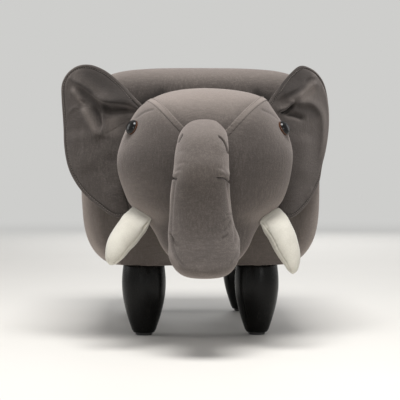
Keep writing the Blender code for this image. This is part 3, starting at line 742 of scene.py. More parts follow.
stageSetup = {
    "floor": tone(226, 223, 217),
    "floorShade": tone(221, 218, 212),
    "floorHalf": 16.0,
    "fade": (0.9, 3.4),  # from here to there the floor fades into the surroundings
    "world": (0.93, 0.95, 1.0, 1.0),
    "worldLight": 0.28,
    "seen": tone(206, 206, 204),
    "lamps": (
        # name, place, aim, width, length, watts
        ("topSoftbox", (0.0, -0.66, 1.75), (0, -0.1, 0.22), 0.9, 0.8, 35),
        ("leftSoftbox", (-1.7, 0.3, 0.8), (0, 0, 0.2), 0.9, 1.2, 6),
        ("rightSoftbox", (1.7, 0.6, 0.8), (0, 0, 0.2), 0.8, 1.2, 3),
        ("rearSoftbox", (0.3, 2.4, 0.8), (0, 0.3, 0.2), 1.2, 0.8, 14),
        ("leftFront", (-0.55, -2.0, 0.5), (0, -0.2, 0.3), 0.2, 0.2, 3.2),
        ("rightFront", (0.9, -1.8, 0.6), (0, -0.2, 0.3), 0.2, 0.2, 1.9),
        ("rightStrip", (0.75, -2.3, 0.5), (0, -0.1, 0.1), 0.16, 0.9, 1.6),
    ),
}


def directLook(tree):
    # 1 for what the camera sees straight, in a gloss or through glass
    path = tree.nodes.new("ShaderNodeLightPath")
    rays = ("Is Camera Ray", "Is Glossy Ray", "Is Transmission Ray")
    straight, gloss, glass = (Wire(tree, path.outputs[name]) for name in rays)
    return straight.sum("MAXIMUM", straight, gloss.sum("MAXIMUM", gloss, glass))


def mixedSurface(tree, share, first, second, output):
    mix = tree.nodes.new("ShaderNodeMixShader")
    setInputs(mix, {0: share, 1: Wire(tree, first.outputs[0]), 2: Wire(tree, second.outputs[0])})
    tree.links.new(mix.outputs[0], tree.nodes[output].inputs["Surface"])


def floorMaterial(setup):
    made, shader, where = newMaterial("paleFloor")
    setInputs(shader, {
        "Base Color": where.noise(3, 3).blend(setup["floorShade"], setup["floor"]),
        "Roughness": 0.75,
        "Specular IOR Level": 0.2,
    })
    glow = where.tree.nodes.new("ShaderNodeEmission")
    glow.inputs["Color"].default_value = setup["seen"]
    away = where.node("ShaderNodeVectorMath", {"operation": "LENGTH"}, {0: where}, out=1)
    far = away.between(*setup["fade"], "SMOOTHSTEP")
    mixedSurface(where.tree, far * directLook(where.tree), shader, glow, "Material Output")
    return made


def makeStage(setup):
    half = setup["floorHalf"]
    corners = [(-half, -half, 0), (half, -half, 0), (half, half, 0), (-half, half, 0)]
    ground = newPiece("studioFloor", corners, [(0, 1, 2, 3)])
    dress(ground, floorMaterial(setup))
    world = bpy.data.worlds.new("studio")
    world.use_nodes = True
    tree = world.node_tree
    light, seen = tree.nodes["Background"], tree.nodes.new("ShaderNodeBackground")
    setInputs(light, {"Color": setup["world"], "Strength": setup["worldLight"]})
    setInputs(seen, {"Color": setup["seen"], "Strength": 1.0})
    mixedSurface(tree, directLook(tree), light, seen, "World Output")
    scene.world = world
    for name, place, aim, width, length, watts in setup["lamps"]:
        data = bpy.data.lights.new(name, "AREA")
        data.shape = "RECTANGLE"
        data.size, data.size_y = width, length
        data.energy = watts
        lamp = bpy.data.objects.new(name, data)
        scene.collection.objects.link(lamp)
        lamp.location = place
        lamp.visible_camera = False
        lamp.rotation_euler = (Vector(aim) - Vector(place)).to_track_quat("-Z", "Y").to_euler()
    scene.view_settings.view_transform = "Standard"


makeStage(stageSetup)
print("stage made")


# Body: one padded cover over the box

bodyShape = {
    "topSquareness": 4.8,
    "bottomSquareness": 4.2,
    "edge": 0.033,  # rounding at the front and rear
    "sag": 0.012,
    "sides": 132,
    "lengthSteps": 56,
    "edgeSteps": 10,
    "capSteps": 16,
    "seamAt": 0.0045,  # end seams, behind the rounding
    "seamRows": (-0.0034, -0.0018, -0.0009, 0.0, 0.0009, 0.0018, 0.0034),
    "corners": (
        # painted shade in the corners between seat, head and ears: line and width in the photograph's pixels,
        # how dark
        (((143, 102), (152, 98), (163, 92)), 5.0, 0.88),
        (((272, 103), (266, 99), (257, 93)), 5.0, 0.85),
    ),
    "capStart": 0.04,
    "seamClear": 0.008,  # from a seam to the first of the even rows
    "heldUnder": 0.004,  # the cloth run holds the underside, the front panel and the seams
    "heldFront": 0.012,
    "heldSeam": 0.0012,
    "rearRoom": 0.0008,  # the tail hangs close behind
    "groove": (0.0016, 0.0011),  # depth and half width of the end seams
    # painted shade along the end seams: how dark, and half width
    "grooveDark": (0.45, 0.0009),
    "drawIn": 0.0015,
    "pressure": 3.0,
    "cap": 0.004,
    "paintedLight": {
        # painted light: how much lighter the velvet is painted on faces that look up, down and sideways, and
        # low on the body
        "up": 0.44, "down": 0.4, "side": 0.28, "left": 0.2, "low": 0.3, "lowHeights": (0.24, 0.14),
        "rounding": {"left": 0.24, "right": 0.11}, "roundingTurn": (0.08, 0.45),
        "roundingHeights": (0.25, 0.19),
    },
}


def bodyRing(shape, low, high, y, inset):
    half = (high.x - low.x) / 2 - inset
    bottom, top = low.z - shape["sag"], high.z - inset
    middle = (bottom + top) / 2
    turns = turnsOf(shape["sides"])
    squareness = np.where(np.sin(turns) >= 0, shape["topSquareness"], shape["bottomSquareness"])
    across, up = squared(turns, squareness)
    return np.stack((half * across, np.full(len(turns), y), middle + (top - middle) * up), axis=1)


def bodyRings(shape, low, high, seams):
    edge = shape["edge"]
    panel = bodyRing(shape, low, high, low.y, edge)
    centre = panel.mean(0)
    shares = np.linspace(shape["capStart"], 1, shape["capSteps"], endpoint=False)
    front = [centre + (panel - centre) * share for share in shares]
    for a in np.linspace(0, math.pi / 2, shape["edgeSteps"], endpoint=False):
        y = low.y + edge * (1 - math.cos(a))
        front.append(bodyRing(shape, low, high, y, edge * (1 - math.sin(a))))
    rows = [seams[0] + r for r in shape["seamRows"]]
    clear = shape["seamClear"]
    rows += list(np.linspace(seams[0] + clear, seams[1] - clear, shape["lengthSteps"]))
    rows += [seams[1] + r for r in shape["seamRows"]]
    straight = [bodyRing(shape, low, high, y, 0.0) for y in rows]
    rear = [ring * (1, -1, 1) + (0, low.y + high.y, 0) for ring in front[::-1]]
    return np.array(front + straight + rear)


# painted light for the body: lighter on faces that look up, down and sideways, low down, on the left and on
# the rounded sides
def bodyPaintedLight(shape, obj):
    paintedLight, z, sideways = shape["paintedLight"], coordsOf(obj.data)[:, 2], normalsOf(obj.data)[:, 0]
    lighter = paintedLight["low"] * step(*paintedLight["lowHeights"], z) + paintedLight["left"] * step(*paintedLightTurn["side"], -sideways)
    for side, sign in signOf.items():
        rounding = paintedLight["rounding"][side] * step(*paintedLight["roundingTurn"], sign * sideways)
        lighter += rounding * step(*paintedLight["roundingHeights"], z)
    return {"up": paintedLight["up"], "down": paintedLight["down"], "side": paintedLight["side"], "more": lighter}


def makeBody(shape):
    low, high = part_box("body_cover")
    ends = shape["edge"] + shape["seamAt"]
    seams = (low.y + ends, high.y - ends)
    rings = bodyRings(shape, low, high, seams)
    made = lofted("bodyCover", rings, rings[0].mean(0), rings[-1].mean(0))

    def fromSeam():
        return np.abs(coordsOf(made.data)[:, 1:2] - seams).min(1)

    def levelled():
        coords = coordsOf(made.data)
        coords[:, 2] = np.maximum(coords[:, 2], low.z)
        return coords

    setCoords(made, levelled())
    drawIn(made, shape["drawIn"])
    coords = coordsOf(made.data)
    flat = coords[:, 2] < low.z + shape["heldUnder"]
    atFront = coords[:, 1] < low.y + shape["heldFront"]
    held = np.maximum(np.maximum(flat, atFront), 0.9 * (fromSeam() < shape["heldSeam"]))
    puff(made, held, shape["pressure"], shape["cap"])
    coords = levelled()
    coords[:, 1] = np.clip(coords[:, 1], low.y, high.y + shape["rearRoom"])
    setCoords(made, coords)
    depth, width = shape["groove"]
    drawIn(made, (depth * bell(fromSeam(), width))[:, None])
    finer(made, 1)
    # painted shade along the end seams
    dark, width = shape["grooveDark"]
    mark(made, "paintedShade", dark * bell(fromSeam(), width))
    return dress(made, velvet, **bodyPaintedLight(shape, made))


body = makeBody(bodyShape)
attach(body, "stool")
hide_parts("body_cover", "body_wadding", "seat_foam")
print("body made:", len(body.data.polygons), "faces")


# Head: a stuffed dome with felled seams on the forehead

tuskShape = {
    "roots": {
        # where each tusk is sewn to the face, in the photograph's pixels, from the outer to the inner end
        "left": ((131.0, 207.4), (141.0, 213.6), (151.8, 220.3)),
        "right": ((280.8, 208.4), (270.2, 215.8), (259.4, 224.0)),
    },
    "rootDepths": (0.186, 0.2085),  # how far in front of the middle its two ends are
    "lines": {
        # middle of the tusk and half its width, in the photograph's pixels, from the root to the tip
        "left": ((141.3, 213.9, 12.0), (138.0, 218.6, 12.8), (132.7, 226, 14.2), (126.1, 235, 14.3),
                 (120.1, 242.8, 13.2), (116.2, 250.4, 11.7), (113.0, 257.6, 8.9), (111.6, 262.6, 5.6),
                 (111.2, 265.4, 0.5)),
        "right": ((270.1, 216.2, 12.9), (272.6, 219.6, 13.3), (276.2, 225.4, 13.9), (281.8, 235.5, 14.2),
                  (285.2, 243.8, 13.6), (288.4, 251.7, 12.3), (290.8, 258.4, 10.6), (292.2, 265.0, 8.0),
                  (292.6, 270.8, 5.2), (292.4, 274.6, 0.5)),
    },
    "depths": (0.1975, 0.206, 0.215, 0.223, 0.230),  # how far in front of the middle, root to tip
    "sides": 36,
    "rings": 40,
    "flatness": ((0, 0.26), (0.12, 0.62), (0.3, 0.9), (1, 0.9)),  # depth against width, along the tusk
    "sewn": 0.3,  # share of the length over which it turns from the sewn root to a round section
    "rootEdge": (0.0006, 0.004, 0.92),  # how thick, how far it is turned in and to which size
    "seamTurn": 48,  # degrees round from the front, towards the trunk
    "seamHold": 0.003,
    "seamGroove": (0.0012, 0.0010, 0.5),  # depth, width and how dark the painted shade in it is
    "puckers": (0.0004, 0.005),  # depth and reach beside the seam
    "creases": {
        # short folds from the inner end of the root, in the photograph's pixels
        "left": ((149, 221), (145, 225.5), (141.5, 231)),
        "right": ((264.5, 221), (267.4, 225.5), (268.2, 231.5)),
    },
    "crease": (0.0008, 1.1, 0.35),  # depth, width in pixels and how dark the painted shade in it is
    "drawIn": 0.0006,
    "pressure": 8.0,
    "mass": 0.02,
    "cap": 0.0012,
}

headShape = {
    "levels": (
        # share of the height, then half width, front and back as shares of the half width and depth
        (1.000, 0.000, 0.420, 0.420), (0.989, 0.270, 0.625, 0.208), (0.963, 0.490, 0.757, 0.060),
        (0.904, 0.713, 0.868, -0.070), (0.817, 0.847, 0.944, -0.118), (0.704, 0.949, 0.986, -0.139),
        (0.608, 1.000, 1.000, -0.139), (0.499, 0.985, 0.990, -0.139), (0.412, 0.931, 0.972, -0.139),
        (0.338, 0.840, 0.955, -0.115), (0.262, 0.670, 0.938, -0.020), (0.194, 0.570, 0.938, 0.180),
        (0.107, 0.480, 0.950, 0.370), (0.041, 0.350, 0.950, 0.550), (0.011, 0.190, 0.900, 0.680),
        (0.000, 0.000, 0.800, 0.800),
    ),
    "roundness": 2.3,
    "sides": 92,
    "rings": 58,
    "drawIn": 0.0012,
    "pressure": 4.0,
    "cap": 0.003,
    "fuller": (
        # one side's bulge: side, how much, height of its middle, spread
        (1, 0.0052, 0.274, 0.034), (1, 0.0022, 0.176, 0.022), (-1, -0.0020, 0.200, 0.016),
        (1, 0.0210, 0.322, 0.012),
    ),
    "paintedShadePatches": (
        # painted shade, darker patches on the face: middle and spread in the photograph's pixels, how dark
        ((256, 163), (34, 48), 0.26),
        ((150, 160), (26, 40), 0.05),
    ),
    "seamWidth": 0.0082,
    "seamHeight": 0.0007,
    "stitchAt": 0.32,  # from the seam's middle, as a share of its width
    "seams": {
        # middle line of each felled seam, in the photograph's pixels, from the head's edge to the trunk
        "left": ((151.5, 100.3), (163.5, 109.8), (172, 119.0), (179, 126.5), (188, 136)),
        "right": ((262, 99.2), (249.6, 109.2), (238.8, 120.4), (231.2, 128.6), (222, 138)),
    },
    "seamTurn": 6,  # how far the seams run outwards behind the forehead, in degrees
    "darts": (
        ((133, 119.5), (144.4, 112), (155, 108.6)),
        ((260, 108.5), (272, 114), (280.5, 120.5)),
    ),
    # seams, darts and the tusks' roots are drawn in: width in pixels, fade at the ends, depth in metres
    "seamPull": ((6.0, 0, 0.0011),),
    "dartPull": ((1.0, 0.15, 0.0007), (4.0, 0.2, 0.0003)),
    "tuskPull": ((1.6, 0.1, 0.0009),),
    # and painted dark, painted shade in the grooves: width in pixels, fade at the ends, how dark
    "dartDark": ((0.8, 0.15, 0.45),),
    "tuskDark": ((1.3, 0.1, 0.6),),
    "seamHold": 3.5,
    "gathers": {
        # fine folds round the trunk's root: middle, radius and spread in pixels, radians of a wave per pixel,
        # depth in metres
        "middle": (203, 142), "narrow": (0.8, 1), "radius": 28, "spread": 4.5, "waves": 2.5, "depth": 0.00016,
    },
    "eyePull": (0.0012, 0.014),  # depth and reach
    "neckRound": 0.004,
    "neckHeld": 0.006,
    "paintedLightUp": {"forehead": 0.84, "sides": 0.46},  # painted light: how much lighter the velvet is painted between and beside the seams
    "paintedLightDown": 0.6,
    "paintedLightEdge": 1.5,  # pixels to each side of the seams
}


def headRings(shape):
    low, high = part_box("head_cover")
    height, half, depth = high.z - low.z, (high.x - low.x) / 2, high.y - low.y
    wide, deep = squared(turnsOf(shape["sides"]), shape["roundness"])
    rings = []
    for share, width, front, back in evenLevels(shape["levels"], (1, 0.6, 0.4, 0.4), shape["rings"] + 2):
        yFront, yBack = high.y - front * depth, high.y - back * depth
        across = width * half * wide
        z = low.z + share * height
        for way, more, at, spread in shape["fuller"]:
            across = across + way * more * bell(z - at, spread) * np.clip(way * across / half, 0, 1)
        y = (yFront + yBack) / 2 - (yBack - yFront) / 2 * deep
        rings.append(np.stack((across, y, np.full(len(wide), z)), axis=1))
    return rings, high.y


def headFolds(shape, coords, spots, facing):
    # how far the head is drawn in and how much painted shade it gets at each place
    sink, paintedShade = np.zeros(len(coords)), np.zeros(len(coords))
    for lines, pulls, darks in (
        (shape["seams"].values(), shape["seamPull"], ()),
        (shape["darts"], shape["dartPull"], shape["dartDark"]),
        (tuskShape["roots"].values(), shape["tuskPull"], shape["tuskDark"]),
    ):
        for line in lines:
            sink += sum(depth * facing * fold(spots, line, width, fade) for width, fade, depth in pulls)
            paintedShade += sum(dark * facing * fold(spots, line, width, fade) for width, fade, dark in darks)
    for centre, spread, dark in shape["paintedShadePatches"]:
        paintedShade += dark * facing * np.exp(-(((spots - centre) / spread) ** 2).sum(1))
    gathers = shape["gathers"]
    ring = np.linalg.norm((spots - gathers["middle"]) * gathers["narrow"], axis=1)
    waves = np.sin(ring * gathers["waves"]) * bell(ring - gathers["radius"], gathers["spread"])
    sink += gathers["depth"] * facing * waves
    for side in signOf:
        middle = np.mean([np.array(corner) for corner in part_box(f"eye_{side}")], axis=0)
        depth, reach = shape["eyePull"]
        sink += depth * bell(np.linalg.norm(coords - middle, axis=1), reach)
    return sink, np.clip(paintedShade, 0, 1)


def makeHead(shape):
    rings, neck = headRings(shape)
    made = lofted("headCover", rings[1:-1], rings[0].mean(0), rings[-1].mean(0))
    drawIn(made, shape["drawIn"])
    coords, soft = coordsOf(made.data), shape["neckRound"]
    coords[:, 1] = neck - soft * np.log1p(np.exp((neck - coords[:, 1]) / soft))
    setCoords(made, coords)
    coords, normals, spots, facing = lensSkin(made)
    held = (coords[:, 1] > neck - shape["neckHeld"]).astype(float)
    for line in shape["seams"].values():
        held = np.maximum(held, step(0.0, 0.25, facing) * fold(spots, line, shape["seamHold"], 0))
    puff(made, held, shape["pressure"], shape["cap"])
    coords = coordsOf(made.data)
    coords[:, 1] = np.minimum(coords[:, 1], neck)
    setCoords(made, coords)
    finer(made, 2)
    coords, normals, spots, facing = lensSkin(made)
    sink, paintedShade = headFolds(shape, coords, spots, step(0.0, 0.2, facing))
    setCoords(made, coords - normals * sink[:, None])
    mark(made, "paintedShade", paintedShade)
    # painted light: the forehead between the seams is painted lighter than the sides, and faces that look
    # down are painted lighter
    forehead, edge = np.ones(len(coords)), shape["paintedLightEdge"]
    for side, sign in signOf.items():
        x, y = np.array(shape["seams"][side]).T
        forehead *= step(-edge, edge, -sign * (spots[:, 0] - np.interp(spots[:, 1], y, x)))
    paintedLight = shape["paintedLightUp"]
    up = paintedLight["sides"] + (paintedLight["forehead"] - paintedLight["sides"]) * forehead
    return dress(made, velvet, up=up, down=shape["paintedLightDown"])


head = makeHead(headShape)
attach(head, "stool")
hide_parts("head_cover", "head_filling")
print("head made:", len(head.data.polygons), "faces")


creviceShape = {"reach": 0.011, "dark": 0.75, "depth": 0.04}


def darkenCrevice(shape):
    # painted shade: the body's velvet is painted dark where the head sits against it and in the corners
    tree = treeOf(head)
    coords = coordsOf(body.data)
    paintedShade = np.empty(len(coords), np.float32)
    body.data.attributes["paintedShade"].data.foreach_get("value", paintedShade)
    inFront = coords[:, 1] < coords[:, 1].min() + shape["depth"]
    spots = pixelsOf(coords)
    for line, width, dark in bodyShape["corners"]:
        paintedShade = np.maximum(paintedShade, dark * inFront * fold(spots, line, width, 0))
    for i in np.flatnonzero(inFront):
        gap = tree.find_nearest(Vector(coords[i]), 3 * shape["reach"])[3]
        if gap is not None:
            paintedShade[i] = max(paintedShade[i], shape["dark"] * bell(gap, shape["reach"]))
    mark(body, "paintedShade", paintedShade)


darkenCrevice(creviceShape)


def seamPath(shape, tree, side):
    # a forehead seam from the neck over the head's top, then down the line that the photograph shows
    low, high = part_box("head_cover")
    centre = np.array((0, 0, low.z + 0.6 * (high.z - low.z)))
    shown = [onMesh(spot, tree) for spot in shape["seams"][side]]
    first = math.atan2(shown[0][0], shown[0][2] - centre[2])
    over = []
    for share in (1.0, 0.7, 0.4, 0.2):
        y = shown[0][1] + share * (high.y - shape["neckHeld"] - shown[0][1])
        angle = first + signOf[side] * math.radians(shape["seamTurn"]) * share
        out = np.array((math.sin(angle), 0, math.cos(angle)))
        over.append(np.array(tree.ray_cast(Vector(centre + (0, y, 0) + out * 0.3), Vector(-out))[0]))
    return evenly(over + shown, 110)


def makeForeheadSeams(shape):
    tree = treeOf(head)
    for seed, side in enumerate(signOf):
        path = seamPath(shape, tree, side)
        # the bands are painted light as faces that look up
        band = seamBand(
            f"foreheadSeam.{side}", path, tree, shape["seamWidth"], shape["seamHeight"], velvet, up=1.0
        )
        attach(band, "stool")
        places, normals = onSkin(path, tree, shape["seamHeight"])
        across = unit(np.cross(normals, np.gradient(path, axis=0)))
        inner = places - across * signOf[side] * shape["stitchAt"] * shape["seamWidth"]
        row = stitchRow(f"foreheadStitches.{side}", inner, seed)
        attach(row, "stool")


makeForeheadSeams(headShape)
print("forehead seams made")


# Trunk: a stuffed S shape with a front panel and gathered sides

trunkShape = {
    "reach": 0.220,  # from the neck to the furthest point
    "width": 0.0895,
    "levels": (
        # share of the height, half width, front, back, and how far it leans to the left, in metres
        (1.000, 0.000, 0.580, 0.580, 0.003), (0.990, 0.280, 0.645, 0.500, 0.003),
        (0.968, 0.445, 0.720, 0.475, 0.004), (0.922, 0.626, 0.805, 0.470, 0.0045),
        (0.866, 0.707, 0.870, 0.470, 0.0055), (0.778, 0.752, 0.921, 0.470, 0.007),
        (0.711, 0.764, 0.938, 0.470, 0.0074), (0.628, 0.792, 0.923, 0.495, 0.0083),
        (0.519, 0.835, 0.889, 0.500, 0.009), (0.401, 0.873, 0.873, 0.520, 0.008),
        (0.287, 0.943, 0.886, 0.545, 0.007), (0.209, 0.978, 0.923, 0.565, 0.005),
        (0.137, 0.977, 0.958, 0.585, 0.005), (0.080, 0.864, 0.979, 0.605, 0.005),
        (0.037, 0.695, 0.968, 0.645, 0.005), (0.012, 0.455, 0.925, 0.700, 0.005),
        (0.000, 0.000, 0.815, 0.815, 0.005),
    ),
    "crown": 0.0026,  # the top stands higher by this
    "roundness": 2.4,
    "sides": 56,
    "rings": 64,
    "drawIn": 0.001,
    "pressure": 8.0,
    "mass": 0.02,
    "cap": 0.0016,
    "seams": (
        # edges of the front panel, in the photograph's pixels, from the top down
        ((175.6, 178.5), (174.0, 190), (172.6, 205), (171.6, 220), (172, 234), (174, 248), (179, 260),
         (186, 268)),
        ((226.6, 181), (227.6, 188), (229.6, 200), (231.6, 213), (235.2, 225), (238.2, 236), (238.4, 247),
         (235, 258), (228, 266)),
    ),
    "seamHold": 2.5,
    "seamFade": 0.06,
    "seamPull": (1.1, 0.0008),  # width in pixels and depth in metres
    "seamSwell": (2.2, 1.6, 0.0007),  # beside it: how far out and how wide in pixels, height in metres
    # painted shade along the front panel's seams: width in pixels, how dark
    "seamDark": (0.8, 0.3),
    "cuts": (
        # sharp folds: line in the photograph's pixels, width in pixels, depth in metres, how dark the painted
        # shade in them is
        (((214.5, 177.6), (222, 177.8), (226.5, 179.3), (230.5, 183.8)), 0.9, 0.0034, 1.0),
        (((169, 178), (173, 178.3), (177.4, 179.2)), 1.0, 0.0030, 1.0),
        (((217, 134.6), (221.5, 138.2), (225.2, 143.5), (227.6, 151), (228.4, 155)), 0.7, 0.0030, 1.0),
        (((183.2, 133), (180.2, 138.2), (177.3, 144.4)), 0.8, 0.0020, 1.0),
        (((169.2, 231.5), (173, 239.5), (178.5, 249.5)), 1.3, 0.0012, 0.14),
        (((232.5, 214), (229, 214.4), (225, 215.6)), 0.8, 0.0010, 0.35),
        (((231.5, 219.5), (228, 226), (222.5, 233)), 1.0, 0.0013, 0.3),
        (((229.5, 216.5), (224.5, 221), (219, 224)), 0.9, 0.0009, 0.2),
        (((232.8, 224), (233.8, 233), (233.2, 243)), 1.2, 0.0010, 0.22),
        (((228, 234), (225, 236.6), (221, 240)), 0.9, 0.0008, 0.2),
    ),
    "paintedLightStrips": (
        # painted light: lighter strips down the sides: line and width in pixels, how much
        (((173, 180), (171.3, 192), (170, 205), (169.4, 219)), 2.0, 0.45),
        (((227.5, 183), (229.6, 195), (231.2, 206), (233, 218)), 2.0, 0.45),
        (((170, 250), (173.5, 260), (180, 268)), 2.2, 0.3),
    ),
    "folds": (
        # soft folds: line and width in the photograph's pixels, depth in metres; a negative depth swells
        (((216, 172), (224, 173), (231, 177)), 4.0, -0.0024),
        (((170, 172), (174, 173), (179, 175)), 3.5, -0.0010),
        (((214, 166), (222, 169.5), (227, 176)), 1.3, 0.0007),
        (((215, 140), (219, 147), (224, 154)), 4.5, -0.0010),
        (((169.6, 228.5), (174, 236.5), (180.5, 247.5)), 1.4, -0.0014),
        (((229, 230), (225.5, 234.5), (221, 237.5)), 1.4, -0.0010),
        (((176, 165), (183, 162.5), (190, 165)), 1.4, 0.0005),
        (((174, 173.5), (177.5, 170.5), (182, 169.4)), 1.1, 0.0008),
        (((236, 229), (239, 240), (236, 251)), 3.0, 0.0009),
        (((190, 196), (203, 198), (216, 195)), 6.0, 0.0008),
        (((186, 214), (200, 216), (219, 213)), 5.0, -0.0006),
        (((176, 153), (184, 151), (193, 153)), 2.0, 0.0004),
        (((178, 208), (176, 222), (181, 240)), 4.0, 0.0006),
    ),
    "ripples": (
        # crushed pile: middle and spread in pixels, pitch in pixels across and down, depth in metres
        ((188, 189), (7, 10), (0, 3.0), 0.00034),
        ((199, 249), (12, 8), (3.3, 0), 0.00034),
        ((222, 206), (7, 7), (0, 2.7), 0.00026),
    ),
    "flare": (0.0034, (241, 236), 9.0),  # lower right corner: how far out, where and how wide in pixels
    "darkest": 0.92,
    "paintedLight": (
        # painted light: how much lighter the velvet is painted, from which height to which; faces that look
        # up or down get more
        (0.1, 0.24, 0, 0.246, 0.292), (0.2, 0, 0, 0.204, 0.226), (-0.07, 0, 0, 0.236, 0.25),
        (0.035, 0, 0, 0.215, 0.2), (0.23, 0, 0.06, 0.124, 0.098),
    ),
    "paintedLightUp": 0.03,
    "paintedLightEndTurn": (-0.2, 0.9),
}


def trunkRings(shape):
    low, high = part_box("trunk_cover")
    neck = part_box("head_cover")[1].y
    height, half, reach = high.z - low.z, shape["width"] / 2, shape["reach"]
    wide, deep = squared(turnsOf(shape["sides"]), shape["roundness"])
    levels = evenLevels(shape["levels"], (0.19, 0.045, 0.22, 0.22, 1.0), shape["rings"] + 2)
    rings = []
    for share, width, front, back, lean in levels:
        yFront, yBack = neck - front * reach, neck - back * reach
        y = (yFront + yBack) / 2 - (yBack - yFront) / 2 * deep
        z = low.z + share * height + shape["crown"] * step(0.75, 1, share)
        rings.append(np.stack((width * half * wide - lean, y, np.full(len(wide), z)), axis=1))
    return rings


def trunkFolds(shape, spots, turned):
    # how far the trunk is drawn in, and how much painted shade and painted light it gets, at each place
    facing, shown = step(-0.05, 0.2, turned), step(-0.3, -0.1, turned)
    sink = facing * folds(spots, shape["folds"], 0.3)
    paintedShade = np.zeros(len(spots))
    for line, width, depth, dark in shape["cuts"]:
        sink += depth * shown * fold(spots, line, width, 0.2)
        paintedShade += dark * shown * fold(spots, line, width, 0.25)
    for centre, spread, pitch, depth in shape["ripples"]:
        near = np.exp(-(((spots - centre) / spread) ** 2).sum(1))
        waves = sum(2 * np.pi * spots[:, k] / p for k, p in enumerate(pitch) if p)
        sink += depth * facing * near * np.sin(waves + 0.8 * np.sin(spots.sum(1) * 0.55))
    fade, (width, depth), (darkWidth, dark) = shape["seamFade"], shape["seamPull"], shape["seamDark"]
    out, swellWidth, height = shape["seamSwell"]
    for line, way in zip(shape["seams"], signOf.values()):
        beside = [(x + way * out, y) for x, y in line]
        pull = depth * fold(spots, line, width, fade) - height * fold(spots, beside, swellWidth, fade)
        sink += facing * pull
        paintedShade += dark * facing * fold(spots, line, darkWidth, fade)
    return sink, np.clip(paintedShade, 0, shape["darkest"]), shown * folds(spots, shape["paintedLightStrips"], 0.25)


def makeTrunk(shape):
    rings = trunkRings(shape)
    made = lofted("trunkCover", rings[1:-1], rings[0].mean(0), rings[-1].mean(0))
    drawIn(made, shape["drawIn"])
    spots = pixelsOf(coordsOf(made.data))
    held = np.max([0.8 * fold(spots, line, shape["seamHold"], 0) for line in shape["seams"]], axis=0)
    puff(made, held, shape["pressure"], shape["cap"], shape["mass"])
    finer(made, 2)
    sharpest = [line for line, width, depth, dark in shape["cuts"] if dark == 1]
    for reach in (4.0, 2.5):
        coords, normals, spots, turned = lensSkin(made)
        nearCut = np.max([fold(spots, line, reach, 0) for line in sharpest], axis=0)
        denser(made, (nearCut > 0.35) & (turned > -0.15))
    coords, normals, spots, turned = lensSkin(made)
    sink, paintedShade, lighter = trunkFolds(shape, spots, turned)
    out, place, spread = shape["flare"]
    coords[:, 0] += out * bell(np.linalg.norm(spots - place, axis=1), spread)
    setCoords(made, coords - normals * sink[:, None])
    mark(made, "paintedShade", paintedShade)
    # painted light: lighter by height, on faces that look up and at the end that looks down
    upward = normalsOf(made.data)[:, 2]
    top, end = step(*paintedLightTurn["up"], upward), step(*shape["paintedLightEndTurn"], -upward)
    for amount, onTop, under, start, full in shape["paintedLight"]:
        lighter += (amount + onTop * top + under * end) * step(start, full, coords[:, 2])
    return dress(made, velvet, up=shape["paintedLightUp"], more=lighter)


trunk = makeTrunk(trunkShape)
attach(trunk, "stool")
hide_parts("trunk_cover", "trunk_filling")
print("trunk made:", len(trunk.data.polygons), "faces")


# Tusks: stuffed cones, sewn along their inner side

def tuskLine(shape, side):
    steps = evenly(shape["lines"][side], shape["rings"] + 2)
    share = np.linspace(0, 1, len(steps))
    depth = np.interp(share, np.linspace(0, 1, len(shape["depths"])), shape["depths"])
    middle = np.array([atDepth(spot[:2], -y) for spot, y in zip(steps, depth)])
    radius = steps[:, 2] * ((middle[:, 1] - eyePoint[1]) / focal)
    outer, inner = (atDepth(shape["roots"][side][k], -y) for k, y in zip((0, -1), shape["rootDepths"]))
    return middle, radius, outer, inner


def makeTusk(shape, side):
    middle, radius, outer, inner = tuskLine(shape, side)
    along = unit(np.gradient(middle, axis=0))
    ahead = np.array((0, -1.0, 0))
    front = unit(ahead - along * (along @ ahead)[:, None])
    across = np.cross(along, front)
    across *= np.sign((across[:, 0] * -signOf[side]).sum())  # towards the trunk
    share = np.linspace(0, 1, len(middle))
    sewn = (1 - step(0, shape["sewn"], share))[:, None]  # the root lies along the face
    across = unit(across * (1 - sewn) + unit(inner - outer) * sewn)
    middle += sewn * ((inner + outer) / 2 - middle[0])
    radius += sewn[:, 0] * (np.linalg.norm(inner - outer) / 2 - radius[0])
    front = unit(front * (1 - sewn) + ahead * sewn)
    front *= np.interp(share, *np.array(shape["flatness"]).T)[:, None]
    rings = [ringAt(m, r * f, r * a, shape["sides"]) for m, r, f, a in zip(middle, radius, front, across)]
    thick, turnedIn, smaller = shape["rootEdge"]
    tuck = along[0] * turnedIn
    rings.insert(1, rings[0] + along[0] * thick)
    rings.insert(0, middle[0] - tuck + smaller * (rings[0] - middle[0]))
    made = lofted(f"tusk.{side}", rings[:-1], rings[0].mean(0) - tuck, middle[-1])
    drawIn(made, shape["drawIn"])
    at = math.radians(shape["seamTurn"])
    seam = middle + radius[:, None] * (math.cos(at) * front + math.sin(at) * across)
    held = bell(nearLine(coordsOf(made.data), seam)[0], shape["seamHold"])
    held[: 3 * shape["sides"]] = 1  # the root's rings, and then its pole
    held[-2] = 1
    puff(made, held, shape["pressure"], shape["cap"], shape["mass"])
    finer(made, 2)
    coords, normals, spots, facing = lensSkin(made)
    away, run = nearLine(coords, seam[:-2])
    depth, width, dark = shape["seamGroove"]
    groove = bell(away, width)
    waves = np.sin(run * 61 + 1.7 * np.sin(run * 23 + signOf[side]))
    puckerDepth, reach = shape["puckers"]
    puckers = puckerDepth * bell(away, reach) * (0.6 + 0.4 * waves)
    creaseDepth, creaseWidth, creaseDark = shape["crease"]
    crease = (facing > 0) * fold(spots, shape["creases"][side], creaseWidth, 0.3)
    setCoords(made, coords - normals * (depth * groove + puckers + creaseDepth * crease)[:, None])
    # painted shade in the seam's groove and the creases
    mark(made, "paintedShade", np.clip(dark * groove + creaseDark * crease, 0, 1))
    dress(made, ivory)
    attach(made, "stool")
    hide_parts(f"tusk_{side}")


for side in signOf:
    makeTusk(tuskShape, side)
print("tusks made")


# Ears: two layers of velvet, lightly filled, with a stitched hem

